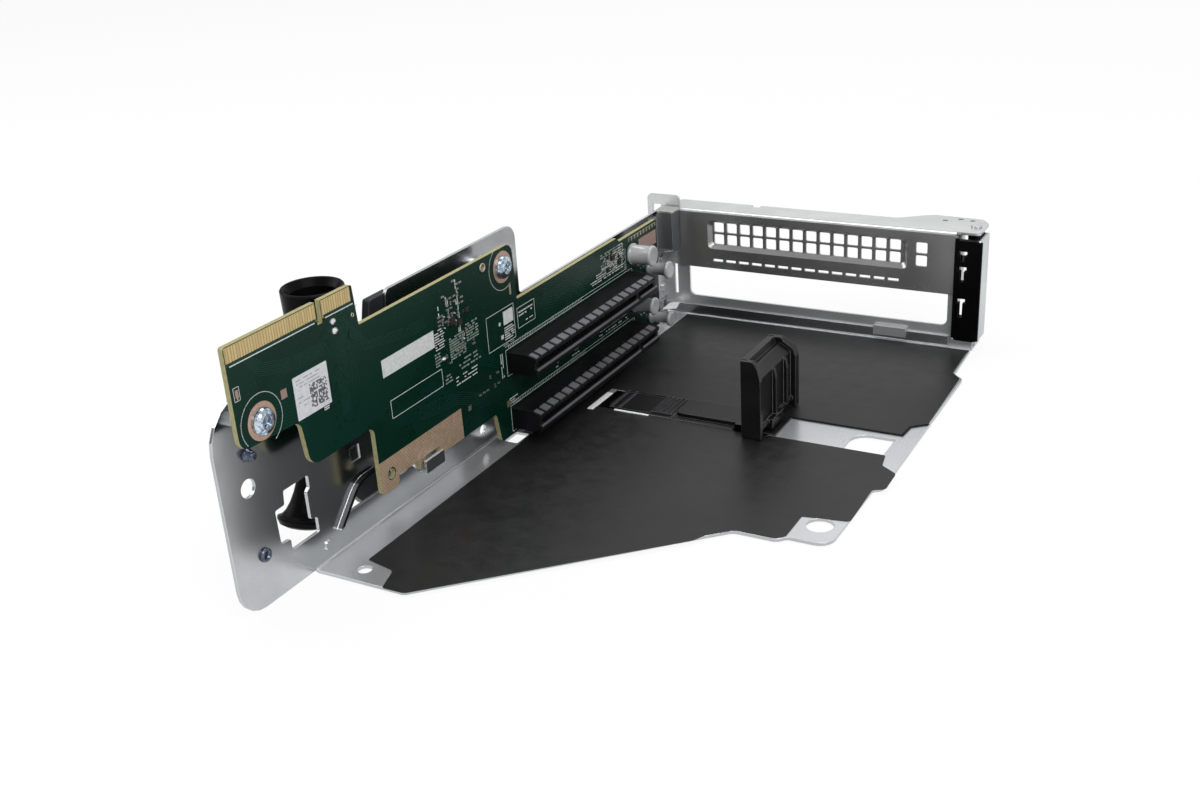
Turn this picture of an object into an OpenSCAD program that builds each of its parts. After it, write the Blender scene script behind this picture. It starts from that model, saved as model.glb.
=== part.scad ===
// Riser cage for a rack server: a folded sheet-metal cage that carries a riser
// board with two card slots, a blanked rear bracket, a hinged card latch and a
// sliding card holder.
//
// Frame: X = 0 is the component face of the riser board, with +X towards the
// cards; Y = 0 is the front end of the card slots, with +Y towards the rear
// wall; Z = 0 is the underside of the tray.

/* [Sheet metal] */
// Thickness of the cage sheet
sheet_t = 1; // [0.8:0.1:1.4]
// Inside radius of every fold
fold_r = 0.8; // [0.5:0.1:1.2]

/* [Tray] */
// Distance from the board face to the outer edge of the tray
tray_w = 125; // [121:1:132]
// How far the tray reaches in front of the card slots
tray_front = 95; // [92:1:110]
// Height of the lip along the rear edge of the tray
lip_h = 5.3; // [4:0.1:6]
// Diameter of the fixing hole in the front left tab
tab_hole_d = 4.4; // [3:0.1:5]
// Diameter of the fixing hole in the right ear
ear_hole_d = 8.4; // [5:0.1:9]

/* [Side wall] */
// Gap between the side wall and the back of the board
board_gap = 7.2; // [6:0.1:9]
// How far the tall part of the side wall rises above the board's shoulder
wall_rise = 1.3; // [0.5:0.1:5]
// How far the front plate's top edge lies below the edge connector's
front_plate_drop = 18.2; // [16:0.1:19]
// How far the front plate reaches in front of the card slots
wall_front = 125.4; // [123:0.2:135]
// Diameter of the locating hole in the front plate
locating_hole_d = 5.4; // [3:0.1:7]
// Diameter of the vent hole low in the wall
wall_hole_d = 3.6; // [2:0.1:5]

/* [Rear wall] */
// Distance from the front end of the slots to the inside of the rear wall
rear_reach = 135.9; // [133:0.1:150]
// Width of the rear wall, from the board face to its outer fold
rear_w = 111.5; // [110.5:0.1:112]
// How far the rear wall rises above the upper slot's top face
rear_rise = 11.8; // [11.3:0.1:12.3]
// Depth of the top flange
flange_d = 12; // [10:0.5:15]
// Depth of the widened right end of the top flange
wing_d = 20; // [16:0.5:24]
// Height of a card opening in the rear wall
opening_h = 12.9; // [12.1:0.1:13.5]
// Length of a card opening in the rear wall
opening_l = 108; // [104:0.5:108.5]

/* [Riser board] */
// Thickness of the board
board_t = 1.6; // [1:0.1:2]
// Length of the edge connector
edge_l = 50.8; // [46:0.2:55]
// Pitch of the edge contacts
edge_pitch = 1; // [0.8:0.1:2]
// Height of the edge contacts
edge_contact_h = 4.8; // [3:0.1:6]
// Height of the edge connector above the tray's underside
edge_top = 82.2; // [80:0.1:90]
// Diameter of the screw holes in the board
board_hole_d = 3.4; // [3.2:0.1:4]

/* [Card slots] */
// Distance between the two card slots
slot_pitch = 20.32; // [19.5:0.01:22]
// Height of the upper slot's top face above the tray's underside
slot_top = 34.2; // [33.5:0.1:35]
// Length of a slot housing
slot_l = 89; // [86:0.5:90]
// Height of a slot housing above the board
slot_h = 11.25; // [9:0.05:12]
// Width of a slot housing
slot_w = 7.5; // [6.5:0.1:8]
// Width of the card opening in a housing
card_gap = 1.9; // [1.7:0.05:2.4]
// Distance of the key from the slot's front end
key_y = 73.2; // [65:0.1:78]
// Number of raised blocks along a housing's upper lip
slot_blocks = 17; // [8:1:20]

/* [Insulator] */
// Thickness of the insulating film
film_t = 0.25; // [0.1:0.05:0.5]
// Distance from the board face to the film's left edge
film_left = 2; // [1:0.5:6]

/* [Card holder] */
// Length of the holder across the channel
holder_l = 33; // [30:0.5:36]
// Height of the holder above the tray's underside
holder_h = 29.4; // [26:0.1:40]
// Thickness of the holder along its travel
holder_t = 8; // [7:0.1:9]
// Distance from the board face to the holder
holder_x = 70.5; // [69:0.1:72]
// Length of the sliding plate behind the holder
slide_l = 59.5; // [56:0.5:60]
// Width of the channel in the film
channel_w = 16.4; // [15.5:0.1:18]
// Number of grip ribs on the sliding plate
grip_ribs = 6; // [3:1:8]

/* [Filler bracket] */
// Thickness of the filler bracket
filler_t = 0.8; // [0.6:0.1:1]
// Width of the filler bracket
filler_h = 18.4; // [17.5:0.1:18.4]
// Number of vent holes in a row
vent_count = 14; // [6:1:14]
// Pitch of the vent holes
vent_pitch = 5.65; // [5:0.05:5.65]
// Size of a vent hole
vent_size = 4.3; // [3:0.1:4.6]

/* [Latch] */
// Gap between the latch and the top flange
latch_gap = 0.9; // [0.5:0.1:3]
// Thickness of the latch's front plate
latch_t = 2.2; // [1.6:0.1:3]
// Diameter of the latch pin
pin_d = 2.4; // [2:0.1:3]

/* [Lift grip] */
// Outer diameter of the cup at the top of the grip
cup_d = 19; // [16:0.5:22]
// Depth of the cup's bore
cup_bore_h = 14; // [8:0.5:16]
// Lean of the stem under the cup from the vertical
grip_lean = 22; // [18:0.5:24]

/* [Fasteners] */
// Diameter of a board screw's head
screw_head_d = 7; // [5.5:0.1:8]
// Diameter of a board screw's thread
screw_d = 3; // [2.5:0.1:3]
// Diameter of a corner rivet's head
rivet_head_d = 4.4; // [3.5:0.1:6]

/* [Hidden] */

$fn = 40;
// Segments in each rounded corner of an outline
arc_steps = 5;
// How far a cutting shape runs past the face it cuts
past = 0.5;

// Sheet metal
fold_out = fold_r + sheet_t;
wall_in = -(board_t + board_gap);
wall_out = wall_in - sheet_t;
rear_in = rear_reach;
rear_out = rear_reach + sheet_t;
rear_h = slot_top + rear_rise;

// Card slots, numbered from the top
slot_tops = [slot_top, slot_top - slot_pitch];
slot_mids = [for (z = slot_tops) z - slot_w / 2];

// Riser board, as levels above the tray's underside
shoulder_z = edge_top - 12.2;
shelf_z = slot_top + 16;
wall_tall_h = shoulder_z + wall_rise;
front_plate_h = edge_top - front_plate_drop;
shelf_step = 1.8;
finger_end = -73;
board_front = finger_end - edge_l;
board_back = 112;
board_foot_z = 4.6;
board_screws_at = [[board_front + 9.1, edge_top - 23.5], [1.6, shoulder_z - 6.4]];
board_leg_y = -71.8;
hem_z = 15.6;

// Rear wall
ledge_x = rear_w;
filler_z = rear_h - 0.6 - filler_h;
top_slot_z = filler_z;
slot_2_opening_z = slot_tops[1] - 4.7;

// Sliding channel in the tray
channel_y = 36.2;
channel_mid = channel_y + channel_w / 2;
slide_t = 1.2;
slide_lift = 0.2;
slide_z = sheet_t + slide_lift;
slide_w = channel_w - 1.4;
guide_gap = 0.2;

// Latch
pivot = [ledge_x + 6, rear_out + 9.1];
latch_z = 4.6;
latch_h = rear_h - sheet_t - latch_gap - latch_z;
latch_right = pivot[0] + 4;
latch_clear = 0.05;

// Board furniture
ring_t = 0.1;

// Guide posts in pairs: a thick one above a slot's end and a thin one behind it
post_h = 9.4;
post_flange_t = 1.1;
thick_post_r = 4.1;
thick_post_reach = [1.4, 10.3];
thin_post_r = 2.6;
thin_post_reach = [15, 0.3];
thick_post_at = [slot_l, slot_mids[0]] + thick_post_reach;

// ---------------------------------------------------------------- helpers

function unit(v) = v / norm(v);

// Points of an outline whose corners are [x, y, radius]
function corner_arc(before, here, after) =
    let (p = [here[0], here[1]],
         a = unit([before[0], before[1]] - p),
         b = unit([after[0], after[1]] - p),
         half = acos(max(-1, min(1, a * b))) / 2,
         reach = here[2] / tan(half),
         centre = p + unit(a + b) * here[2] / sin(half),
         start = p + a * reach - centre,
         end = p + b * reach - centre,
         from = atan2(start[1], start[0]),
         turn = atan2(end[1], end[0]) - from,
         sweep = turn > 180 ? turn - 360 : turn < -180 ? turn + 360 : turn)
    [for (k = [0 : arc_steps])
        centre + here[2] * [cos(from + sweep * k / arc_steps), sin(from + sweep * k / arc_steps)]];

function outline(corners) =
    let (n = len(corners))
    [for (i = [0 : n - 1])
        each corners[i][2] > 0
            ? corner_arc(corners[(i + n - 1) % n], corners[i], corners[(i + 1) % n])
            : [[corners[i][0], corners[i][1]]]];

// A block between two opposite corners
module block(low, high) translate(low) cube(high - low);

// Upright plate in a Y-Z plane, from x to x + t, drawn with 2D x = Y and 2D y = Z
module yz_plate(x, t) translate([x, 0, 0]) rotate([90, 0, 90]) linear_extrude(t) children();

// Upright plate in an X-Z plane, from y to y + t, drawn with 2D x = X and 2D y = Z
module xz_plate(y, t) translate([0, y + t, 0]) rotate([90, 0, 0]) linear_extrude(t) children();

// Flat plate from z to z + t
module flat_plate(z, t) translate([0, 0, z]) linear_extrude(t) children();

// Cylinder along X from x to x + length
module x_rod(x, length, r) translate([x, 0, 0]) rotate([0, 90, 0]) cylinder(h = length, r = r);

// Quarter ring of a fold, in the quadrant of negative x and negative y
module fold_section() {
    intersection() {
        difference() {
            circle(r = fold_out);
            circle(r = fold_r);
        }
        translate([-fold_out, -fold_out]) square(fold_out);
    }
}

module rounded_rect(low, high, r) {
    polygon(outline([[low[0], low[1], r], [high[0], low[1], r],
                     [high[0], high[1], r], [low[0], high[1], r]]));
}

// ---------------------------------------------------------------- cage sheet

// Left end of the tray's right ear, and the place where the right edge steps in
ear_x = tray_w - 16;
notch_y = rear_in - 25.9;
tab_hole_at = [4.3, 5.8 - tray_front];
ear_hole_at = [ear_x + 6.3, -14.7];

// Outline of the tray, seen from above
tray_corners = [
    [wall_out + fold_out, -tray_front, 0], [22.3, -tray_front, 3], [85.5, -34.5, 5],
    [ear_x - 16, -27.4, 4], [ear_x - 2.5, -27.4, 3], [ear_x, -24.8, 2], [tray_w - 3, -24.8, 5],
    [tray_w - 2.6, 12.5, 2], [tray_w, 14.5, 2], [tray_w, notch_y - 4, 2], [tray_w - 4, notch_y, 1.5],
    [tray_w - 4.6, rear_in - fold_out, 0], [wall_out + fold_out, rear_in - fold_out, 0]];

// Outline of the side wall, in Y and Z
wall_corners = [
    [-tray_front, fold_out, 0], [-tray_front, sheet_t, 0], [-wall_front, sheet_t, 9],
    [-wall_front, front_plate_h, 13], [-49, front_plate_h, 0], [-48, wall_tall_h, 2],
    [23.8, wall_tall_h, 5], [23.8, rear_h, 1.5], [rear_out, rear_h, 1],
    [rear_out, fold_out, 0]];

// Keyed opening in the front plate
key_slot_corners = [
    [-102.9, 30.7, 0.6], [-103.3, 26.5, 0.6], [-107.2, 26.4, 0.6], [-106.9, 15.9, 0.6],
    [-103.1, 15.5, 0.6], [-103, 11.9, 0.6], [-91.3, 11.9, 0.6], [-91.3, 16.6, 0.8],
    [-93.9, 17.2, 0.6], [-93.9, 25.8, 0.6], [-92.5, 26.9, 0.6], [-92.5, 30.7, 0.6]];

// Long opening behind the board's foot
foot_slot_corners = [
    [-80, 11.2, 0.8], [-57.5, 11.2, 1], [-57.5, 18.6, 1], [-72.4, 18.6, 9]];

// Curved rim along the front of that opening
rim_h = 1.6;
rim_corners = [
    [-84.4, 8.4, 0.3], [-73.2, 20.1, 10], [-64, 20.1, 0.3],
    [-64, 19, 0.3], [-72.6, 19, 9], [-82.8, 8.4, 0.3]];

// Hook under the board's hem: its root in the wall, its lip, and the window that it was cut from
hook_root_y = [-48.6, -40.5];
hook_lip_y = [-52.5, -43];
hook_z = hem_z - 0.4 - sheet_t;
hook_window_y = -56.5;
hook_window_z = [11.6, 23];
locating_hole_at = [10 - wall_front, 37.5];
wall_hole_at = [-6, 6.8];
wall_bosses = [[-113.9, 46.9], [-113.7, 16.2]];
wall_dimple = [-88.4, 5.8];
guide_x = [66, 76];
guide_lip = 2.2;
guide_top = slide_z + slide_t + guide_gap;

// Z-shaped guide that holds one edge of the sliding plate; side is -1 or 1
module slide_guide(side) {
    root = channel_mid + side * (slide_w / 2 + 1.2);
    tip = channel_mid + side * (slide_w / 2 + 1.2 - guide_lip - sheet_t);
    near = root - (side > 0 ? sheet_t : 0);
    block([guide_x[0], near, sheet_t / 2], [guide_x[1], near + sheet_t, guide_top + sheet_t]);
    block([guide_x[0], min(root, tip), guide_top], [guide_x[1], max(root, tip), guide_top + sheet_t]);
}

module tray() {
    difference() {
        flat_plate(0, sheet_t) polygon(outline(tray_corners));
        translate([tab_hole_at[0], tab_hole_at[1], -past])
            cylinder(h = sheet_t + 2 * past, d = tab_hole_d);
        translate([ear_hole_at[0], ear_hole_at[1], -past])
            cylinder(h = sheet_t + 2 * past, d = ear_hole_d);
        // Slot beside the board's foot
        flat_plate(-past, sheet_t + 2 * past) rounded_rect([-4.2, -0.6], [1, 7.4], 0.8);
        // Opening under the end of the channel
        flat_plate(-past, sheet_t + 2 * past)
            polygon(outline([[ear_x - 5, 31, 3], [tray_w - 7, 31, 2],
                             [tray_w - 7, 49.2, 1], [ear_x - 5, 49.2, 6]]));
    }
}

module side_wall() {
    difference() {
        yz_plate(wall_out, sheet_t) difference() {
            polygon(outline(wall_corners));
            polygon(outline(key_slot_corners));
            polygon(outline(foot_slot_corners));
            translate([hook_window_y, hook_window_z[0]])
                square([hook_root_y[0] - hook_window_y, hook_window_z[1] - hook_window_z[0]]);
            translate([hook_window_y, hook_z + sheet_t])
                square([hook_root_y[1] - hook_window_y, hook_window_z[1] - hook_z - sheet_t]);
        }
        translate([0, locating_hole_at[0], locating_hole_at[1]])
            x_rod(wall_out - past, sheet_t + 2 * past, locating_hole_d / 2);
        translate([0, wall_hole_at[0], wall_hole_at[1]])
            x_rod(wall_out - past, sheet_t + 2 * past, wall_hole_d / 2);
        for (p = wall_bosses)
            translate([0, p[0], p[1]]) x_rod(wall_out - past, sheet_t + 2 * past, nut_spigot_r);
        for (p = board_screws_at)
            translate([0, p[0], p[1]]) x_rod(wall_out - past, sheet_t + 2 * past, standoff_spigot_r);
        for (z = corner_rivet_z)
            translate([0, corner_rivet_y, z]) x_rod(wall_out - past, sheet_t + 2 * past, rivet_r);
        for (p = lift_rivets_at)
            translate([0, p[0], p[1]]) x_rod(wall_out - past, sheet_t + 2 * past, rivet_r);
        // Shallow square emboss beside the board
        block([wall_in - 0.4, -73.8, 25.6], [wall_in + past, -69.4, 30.2]);
    }
    translate([0, wall_dimple[0], wall_dimple[1]]) x_rod(wall_in, 0.5, 1.7);
    yz_plate(wall_in - sheet_t / 2, rim_h + sheet_t / 2) polygon(outline(rim_corners));
}

// Hook cut from the wall that turns up in front of the board's lower edge
module board_hook() {
    reach = 2.2;
    flat_plate(hook_z, sheet_t)
        polygon([[wall_out, hook_root_y[0]], [wall_in + 1, hook_root_y[0]], [reach - 3, hook_lip_y[0]],
                 [reach, hook_lip_y[0]], [reach, hook_lip_y[1]], [reach - 3, hook_lip_y[1]],
                 [wall_in + 1, hook_root_y[1]], [wall_out, hook_root_y[1]]]);
    block([reach - sheet_t, hook_lip_y[0], hook_z], [reach, hook_lip_y[1], hem_z + 2.7]);
}

module cage_sheet() color([0.70, 0.73, 0.75]) {
    tray();
    side_wall();
    // Fold between the tray and the side wall
    translate([wall_out + fold_out, rear_out, fold_out])
        rotate([90, 0, 0]) linear_extrude(rear_out + tray_front) fold_section();
    // Fold and lip along the rear edge
    translate([wall_out + fold_out, rear_in - fold_out, fold_out])
        rotate([90, 0, 90]) linear_extrude(ledge_x - wall_out - fold_out)
            mirror([1, 0]) fold_section();
    block([wall_out + fold_out, rear_in - sheet_t, fold_out], [ledge_x, rear_in, lip_h]);
    for (side = [-1, 1]) slide_guide(side);
    board_hook();
}

// ---------------------------------------------------------------- rear wall

corner_rivet_z = [13, 25, rear_h - 8];
corner_rivet_y = rear_in - 4.6;
tongue_wall = 0.8;
tongue_z = filler_z + 3.4;
rivet_r = 1.4;
corner_flange = 12;
lip_hook_x = [82.3, 95.2];

module rear_panel() {
    xz_plate(rear_in, sheet_t) difference() {
        polygon(outline([
            [wall_in, lip_h - 4.3, 0], [latch_right - 1, lip_h - 4.3, 0], [latch_right - 1, latch_z - 1, 0],
            [ledge_x, latch_z - 1, 0], [ledge_x, rear_h - fold_out, 0], [wall_in, rear_h - fold_out, 0]]));
        // Card opening, which the filler bracket's skirt closes at the top
        rounded_rect([ledge_x - 1 - opening_l, slot_2_opening_z], [ledge_x - 1, top_slot_z - 0.6], 2.5);
        rounded_rect([ledge_x - 4 - (opening_l - 4), top_slot_z + 1.6],
                     [ledge_x - 4, rear_h - fold_out - 0.8], 2);
        // Slot for the lower card bracket's tongue
        translate([-4.4, slot_2_opening_z]) square([1.4, opening_h]);
    }
}

// Ear that rises at the left end, with its square locating hole
module rear_ear() {
    xz_plate(rear_in, sheet_t) difference() {
        polygon(outline([[-15.8, 41.8, 1], [-15.8, 51.2, 2], [-1.3, 51.2, 2], [-1.3, rear_h - fold_out, 0],
                         [wall_in, rear_h - fold_out, 0], [wall_out - 0.2, 41.8, 0]]));
        translate([-13.4, 43.9]) square([3.6, 3.2]);
    }
}

// Left end of the top flange, and the notch in its rear edge
flange_x = -6.2;
flange_notch_x = [26, 29.5];
flange_notch_d = 2.5;
// Where the flange starts to widen, where it is widest, and its right end
wing_l = 25.5;
wing_slope_l = 12;
wing_x = [ledge_x - wing_l, ledge_x - wing_l + wing_slope_l, latch_right - 0.6];

module top_flange() {
    flat_plate(rear_h - sheet_t, sheet_t) difference() {
        polygon(outline([
            [flange_x, rear_in + fold_out, 0], [wing_x[2], rear_in + fold_out, 1.5],
            [wing_x[2], rear_out + wing_d - 6, 3], [wing_x[2] - 3.4, rear_out + wing_d - 1, 3],
            [wing_x[1], rear_out + wing_d, 6], [wing_x[0], rear_out + flange_d, 6],
            [flange_notch_x[1], rear_out + flange_d, 0.5],
            [flange_notch_x[1], rear_out + flange_d - flange_notch_d, 0.5],
            [flange_notch_x[0], rear_out + flange_d - flange_notch_d, 0.5],
            [flange_notch_x[0], rear_out + flange_d, 0.5], [flange_x, rear_out + flange_d, 1]]));
        for (p = [[ledge_x - 7.3, wing_d - 6], [ledge_x - 2.1, wing_d - 3], [ledge_x + 2.7, wing_d - 4]])
            translate([p[0], rear_out + p[1]]) circle(r = 1);
        translate(pivot) circle(d = pin_d);
    }
}

module rear_wall() color([0.62, 0.65, 0.67]) {
    rear_panel();
    rear_ear();
    // Fold from the panel into the top flange
    translate([flange_x, rear_in + fold_out, rear_h - fold_out])
        rotate([90, 0, 90]) linear_extrude(latch_x() - flange_x) mirror([0, 1]) fold_section();
    top_flange();
    // Bottom flange under the latch
    difference() {
        flat_plate(0, sheet_t)
            polygon(outline([[ledge_x - 6, rear_in, 0], [latch_right - 1, rear_in, 0],
                             [latch_right - 1, pivot[1] + 4, 3], [ledge_x - 6, pivot[1] + 4, 3]]));
        translate([pivot[0], pivot[1], -past]) cylinder(h = sheet_t + 2 * past, d = pin_d);
    }
    // Outward ledge that the card brackets' ears close on
    block([ledge_x, rear_in, latch_z - 1], [ledge_x + sheet_t, rear_out + 10, rear_h - sheet_t / 2]);
    // Flange riveted to the side wall
    difference() {
        block([wall_in, rear_in - corner_flange, 8.4],
              [wall_in + sheet_t, rear_in + sheet_t / 2, rear_h - 2]);
        for (z = corner_rivet_z)
            translate([0, corner_rivet_y, z]) x_rod(wall_in - past, sheet_t + 2 * past, rivet_r);
    }
    // Hook over the tray's rear lip
    block([lip_hook_x[0], rear_in - 2 * sheet_t - guide_gap, lip_h + guide_gap],
          [lip_hook_x[1], rear_in + sheet_t / 2, lip_h + guide_gap + sheet_t]);
    block([lip_hook_x[0], rear_in - 2 * sheet_t - guide_gap, lip_h - 2.4],
          [lip_hook_x[1], rear_in - sheet_t - guide_gap, lip_h + guide_gap + sheet_t]);
}

// Right end of the straight fold, clear of the latch's knuckle
function latch_x() = ledge_x + sheet_t;

module tongue_guide() color([0.20, 0.21, 0.23]) {
    // Channel that holds the tongue of the card bracket, riveted to the corner
    left = wall_in + sheet_t;
    difference() {
        union() {
            flat_plate(tongue_z, rear_h - tongue_z) difference() {
                translate([left, rear_in - 8]) square([6.8, 6.8]);
                translate([left + tongue_wall, rear_in - 7.2]) square([5.2, 7]);
            }
            flat_plate(tongue_z - tongue_wall, tongue_wall)
                polygon(outline([[left, rear_in - 1.2, 0], [left, rear_in - 8, 1],
                                 [left + 3.4, rear_in - 11, 1], [left + 6.8, rear_in - 8, 1],
                                 [left + 6.8, rear_in - 1.2, 0]]));
        }
        translate([0, corner_rivet_y, corner_rivet_z[2]]) x_rod(left - past, 2, rivet_r);
    }
}

module guide_cap() color([0.72, 0.74, 0.75]) {
    flat_plate(rear_h, 0.9)
        rounded_rect([wall_in + 0.4, rear_in - 8.4], [wall_in + 8.4, rear_in - 0.8], 2);
}

// Blind rivets that join the rear wall to the side wall
module corner_rivets() color([0.78, 0.80, 0.82]) {
    for (z = corner_rivet_z) translate([0, corner_rivet_y, z]) {
        grip = 2 * sheet_t + (z > tongue_z ? tongue_wall : 0);
        x_rod(wall_out - 0.9, 0.9, rivet_head_d / 2);
        x_rod(wall_out, grip, rivet_r);
        x_rod(wall_out + grip, 0.7, rivet_head_d / 2 - 0.5);
    }
}

// ---------------------------------------------------------------- filler

function vent_x(i) = 15.9 + i * vent_pitch;
pan_depth = 1.5;
pan_x = [11, 95];
pan_z = [filler_z + 3, filler_z + filler_h - 2.6];
vent_rows = [filler_z + 7.2, filler_z + 12.3];
spare_vent_x = 100;
tongue_l = 5.2;
// Gap between the bracket's ear and the top flange
ear_gap = 0.3;
// Lower edge of the skirt, at the top of the open card opening, and the skirt's vents
filler_foot_z = slot_2_opening_z + opening_h;
low_vent_h = 1.1;
low_vent_z = top_slot_z - 0.8 - low_vent_h;

// Shallow pressed pan: its rim is on the plate, its floor pan_depth behind it
module pan(grow, depth) {
    hull() {
        xz_plate(rear_in - filler_t, 0.01)
            rounded_rect([pan_x[0] - grow, pan_z[0] - grow], [pan_x[1] + grow, pan_z[1] + grow], 2);
        xz_plate(rear_in - filler_t + depth, 0.01)
            rounded_rect([pan_x[0] + 1.6 - grow, pan_z[0] + 1.6 - grow],
                         [pan_x[1] - 1.6 + grow, pan_z[1] - 1.6 + grow], 1.4);
    }
}

module filler_bracket() color([0.27, 0.28, 0.30]) {
    difference() {
        union() {
            xz_plate(rear_in - filler_t, filler_t)
                rounded_rect([-1.9, filler_foot_z], [ledge_x + sheet_t, filler_z + filler_h], 0.6);
            pan(filler_t / 2, pan_depth + filler_t);
        }
        translate([0, -0.02, 0]) pan(-filler_t / 2, pan_depth);
        for (i = [0 : vent_count - 1], z = vent_rows)
            xz_plate(rear_in - 2, 6)
                rounded_rect([vent_x(i) - vent_size / 2, z - vent_size / 2],
                             [vent_x(i) + vent_size / 2, z + vent_size / 2], 0.6);
        for (z = vent_rows)
            xz_plate(rear_in - 2, 6)
                rounded_rect([spare_vent_x - vent_size / 2, z - vent_size / 2],
                             [spare_vent_x + vent_size / 2, z + vent_size / 2], 0.6);
        // Low vents along the skirt
        for (i = [0 : vent_count - 1])
            block([vent_x(i) - vent_size / 2, rear_in - 2, low_vent_z],
                  [vent_x(i) + vent_size / 2, rear_in + past, low_vent_z + low_vent_h]);
    }
    // Tongue at the left end
    block([-1.9 - tongue_l, rear_in - filler_t, filler_z + 4.4],
          [-1.4, rear_in, filler_z + filler_h - 4]);
    // Ear at the right end, closed over the ledge
    block([ledge_x + sheet_t, rear_in - filler_t, filler_foot_z],
          [ledge_x + sheet_t + filler_t, rear_out + 9.5, rear_h - sheet_t - ear_gap]);
}

// ---------------------------------------------------------------- riser board

edge_key_y = finger_end - 14.6;
edge_key_w = 2;
edge_key_depth = 6.4;
label_y = [-101.6, -87.6];
label_z = [52.8, 65.2];
// Notch over the hook, with the tongue that drops into the hook
hook_notch_y = [-63.5, -42];
hook_notch_z = hem_z + 3.1;
hem_tongue_y = [-54.4, -51.5] + [1.4, 1.4];

board_corners = [
    [board_front, edge_top, 0.8], [finger_end, edge_top, 0.8], [finger_end + 0.9, shoulder_z, 0.4],
    [8, shoulder_z, 3.5], [8.6, shelf_z, 0.4], [79, shelf_z, 0.5],
    [81, shelf_z - shelf_step, 0.5], [board_back, shelf_z - shelf_step, 1], [board_back, board_foot_z, 1],
    [-7.6, board_foot_z, 1.5], [-9.6, hem_z, 1.5],
    [hook_notch_y[1], hem_z, 1], [hook_notch_y[1], hook_notch_z, 0.5],
    [hem_tongue_y[1], hook_notch_z, 0.5], [hem_tongue_y[1], hem_z - 0.2, 0.5],
    [hem_tongue_y[0], hem_z - 0.2, 0.5], [hem_tongue_y[0], hook_notch_z, 0.5],
    [hook_notch_y[0], hook_notch_z, 0.5], [hook_notch_y[0], hem_z, 1.5],
    [board_leg_y, hem_z, 1], [board_leg_y, edge_top - 44, 2.5], [-99.4, edge_top - 44, 4],
    [-101, edge_top - 29.6, 3], [board_front, edge_top - 28.6, 3.5]];

module board_blank() {
    difference() {
        polygon(outline(board_corners));
        translate([edge_key_y - edge_key_w / 2, edge_top - edge_key_depth])
            square([edge_key_w, edge_key_depth + past]);
    }
}

leg_hole = [-66.6, 20.6];
leg_hole_r = 1.7;

module riser_board() color([0.04, 0.28, 0.17]) {
    difference() {
        yz_plate(-board_t, board_t) board_blank();
        for (p = board_screws_at)
            translate([0, p[0], p[1]]) x_rod(-board_t - past, board_t + 2 * past, board_hole_d / 2);
        translate([0, leg_hole[0], leg_hole[1]]) x_rod(-board_t - past, board_t + 2 * past, leg_hole_r);
        translate([0, -9.7, 66.9]) x_rod(-board_t - past, board_t + 2 * past, 0.9);
    }
}

// One row of edge contacts, leaving the key free
module edge_contacts(x) {
    count = floor((edge_l - 1.2) / edge_pitch);
    for (i = [0 : count - 1]) {
        y = board_front + 1.1 + i * edge_pitch;
        if (abs(y - edge_key_y) > edge_key_w / 2 + 0.5)
            block([x, y - 0.3 * edge_pitch, edge_top - 0.4 - edge_contact_h],
                  [x + ring_t, y + 0.3 * edge_pitch, edge_top - 0.4]);
    }
}

module edge_contacts_front() color([0.80, 0.66, 0.30]) edge_contacts(0);
module edge_contacts_back() color([0.80, 0.66, 0.30]) edge_contacts(-board_t - ring_t);

strip_top = 26;
strip_end = -29;

module ground_strip() color([0.74, 0.50, 0.38]) {
    difference() {
        yz_plate(0, ring_t) intersection() {
            board_blank();
            translate([board_leg_y - 1, board_foot_z])
                square([strip_end + 1 - board_leg_y, strip_top - board_foot_z]);
        }
        translate([0, leg_hole[0], leg_hole[1]]) x_rod(-past, 1 + past, leg_hole_r + 0.3);
    }
}

module screw_rings() color([0.74, 0.50, 0.38]) {
    for (p = board_screws_at) translate([0, p[0], p[1]]) difference() {
        x_rod(0, ring_t, screw_head_d / 2 + 1.8);
        x_rod(-past, ring_t + 2 * past, board_hole_d / 2 + 0.2);
    }
}

// Standoff and screw sizes
standoff_r = 3;
standoff_spigot_r = 2.2;
screw_reach = 5;
head_h = 2.1;

module board_screw() {
    difference() {
        union() {
            x_rod(ring_t, 0.5, screw_head_d / 2);
            translate([ring_t + 0.5, 0, 0]) rotate([0, 90, 0])
                cylinder(h = head_h - 0.5, r1 = screw_head_d / 2, r2 = screw_head_d / 2 - 1.1);
        }
        // Cross recess
        for (a = [0, 90]) rotate([a, 0, 0])
            block([ring_t + head_h - 1.1, -1.9, -0.4], [ring_t + head_h + past, 1.9, 0.4]);
    }
    x_rod(-board_t - screw_reach, board_t + screw_reach + ring_t, screw_d / 2);
}

module board_screws() color([0.72, 0.76, 0.82])
    for (p = board_screws_at) translate([0, p[0], p[1]]) board_screw();

module board_standoffs() color([0.80, 0.81, 0.82]) {
    for (p = board_screws_at) translate([0, p[0], p[1]]) difference() {
        union() {
            x_rod(wall_in, board_gap, standoff_r);
            x_rod(wall_out, sheet_t, standoff_spigot_r);
        }
        x_rod(wall_out - past, board_gap + sheet_t + 2 * past, screw_d / 2 + 0.05);
    }
}

// Chips as [y, z, width, height, thickness]; the last two stand beside the upper thick post
chips = [[-28, edge_top - 30.2, 5, 5, 0.9], [-30, edge_top - 21.7, 3, 3, 0.8],
         [-24, edge_top - 19.2, 2.4, 1.8, 0.7],
         [-15.4, 32.2, 3, 2, 0.8],
         [thick_post_at[0] - thick_post_r - 1.5, thick_post_at[1] + 2.7, 2.6, 3.4, 0.8],
         [thick_post_at[0], thick_post_at[1] - thick_post_r - 0.9, 1.6, 0.8, 0.5]];

module board_chips() color([0.10, 0.10, 0.11]) {
    for (c = chips)
        block([0, c[0] - c[2] / 2, c[1] - c[3] / 2], [c[4], c[0] + c[2] / 2, c[1] + c[3] / 2]);
}

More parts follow.
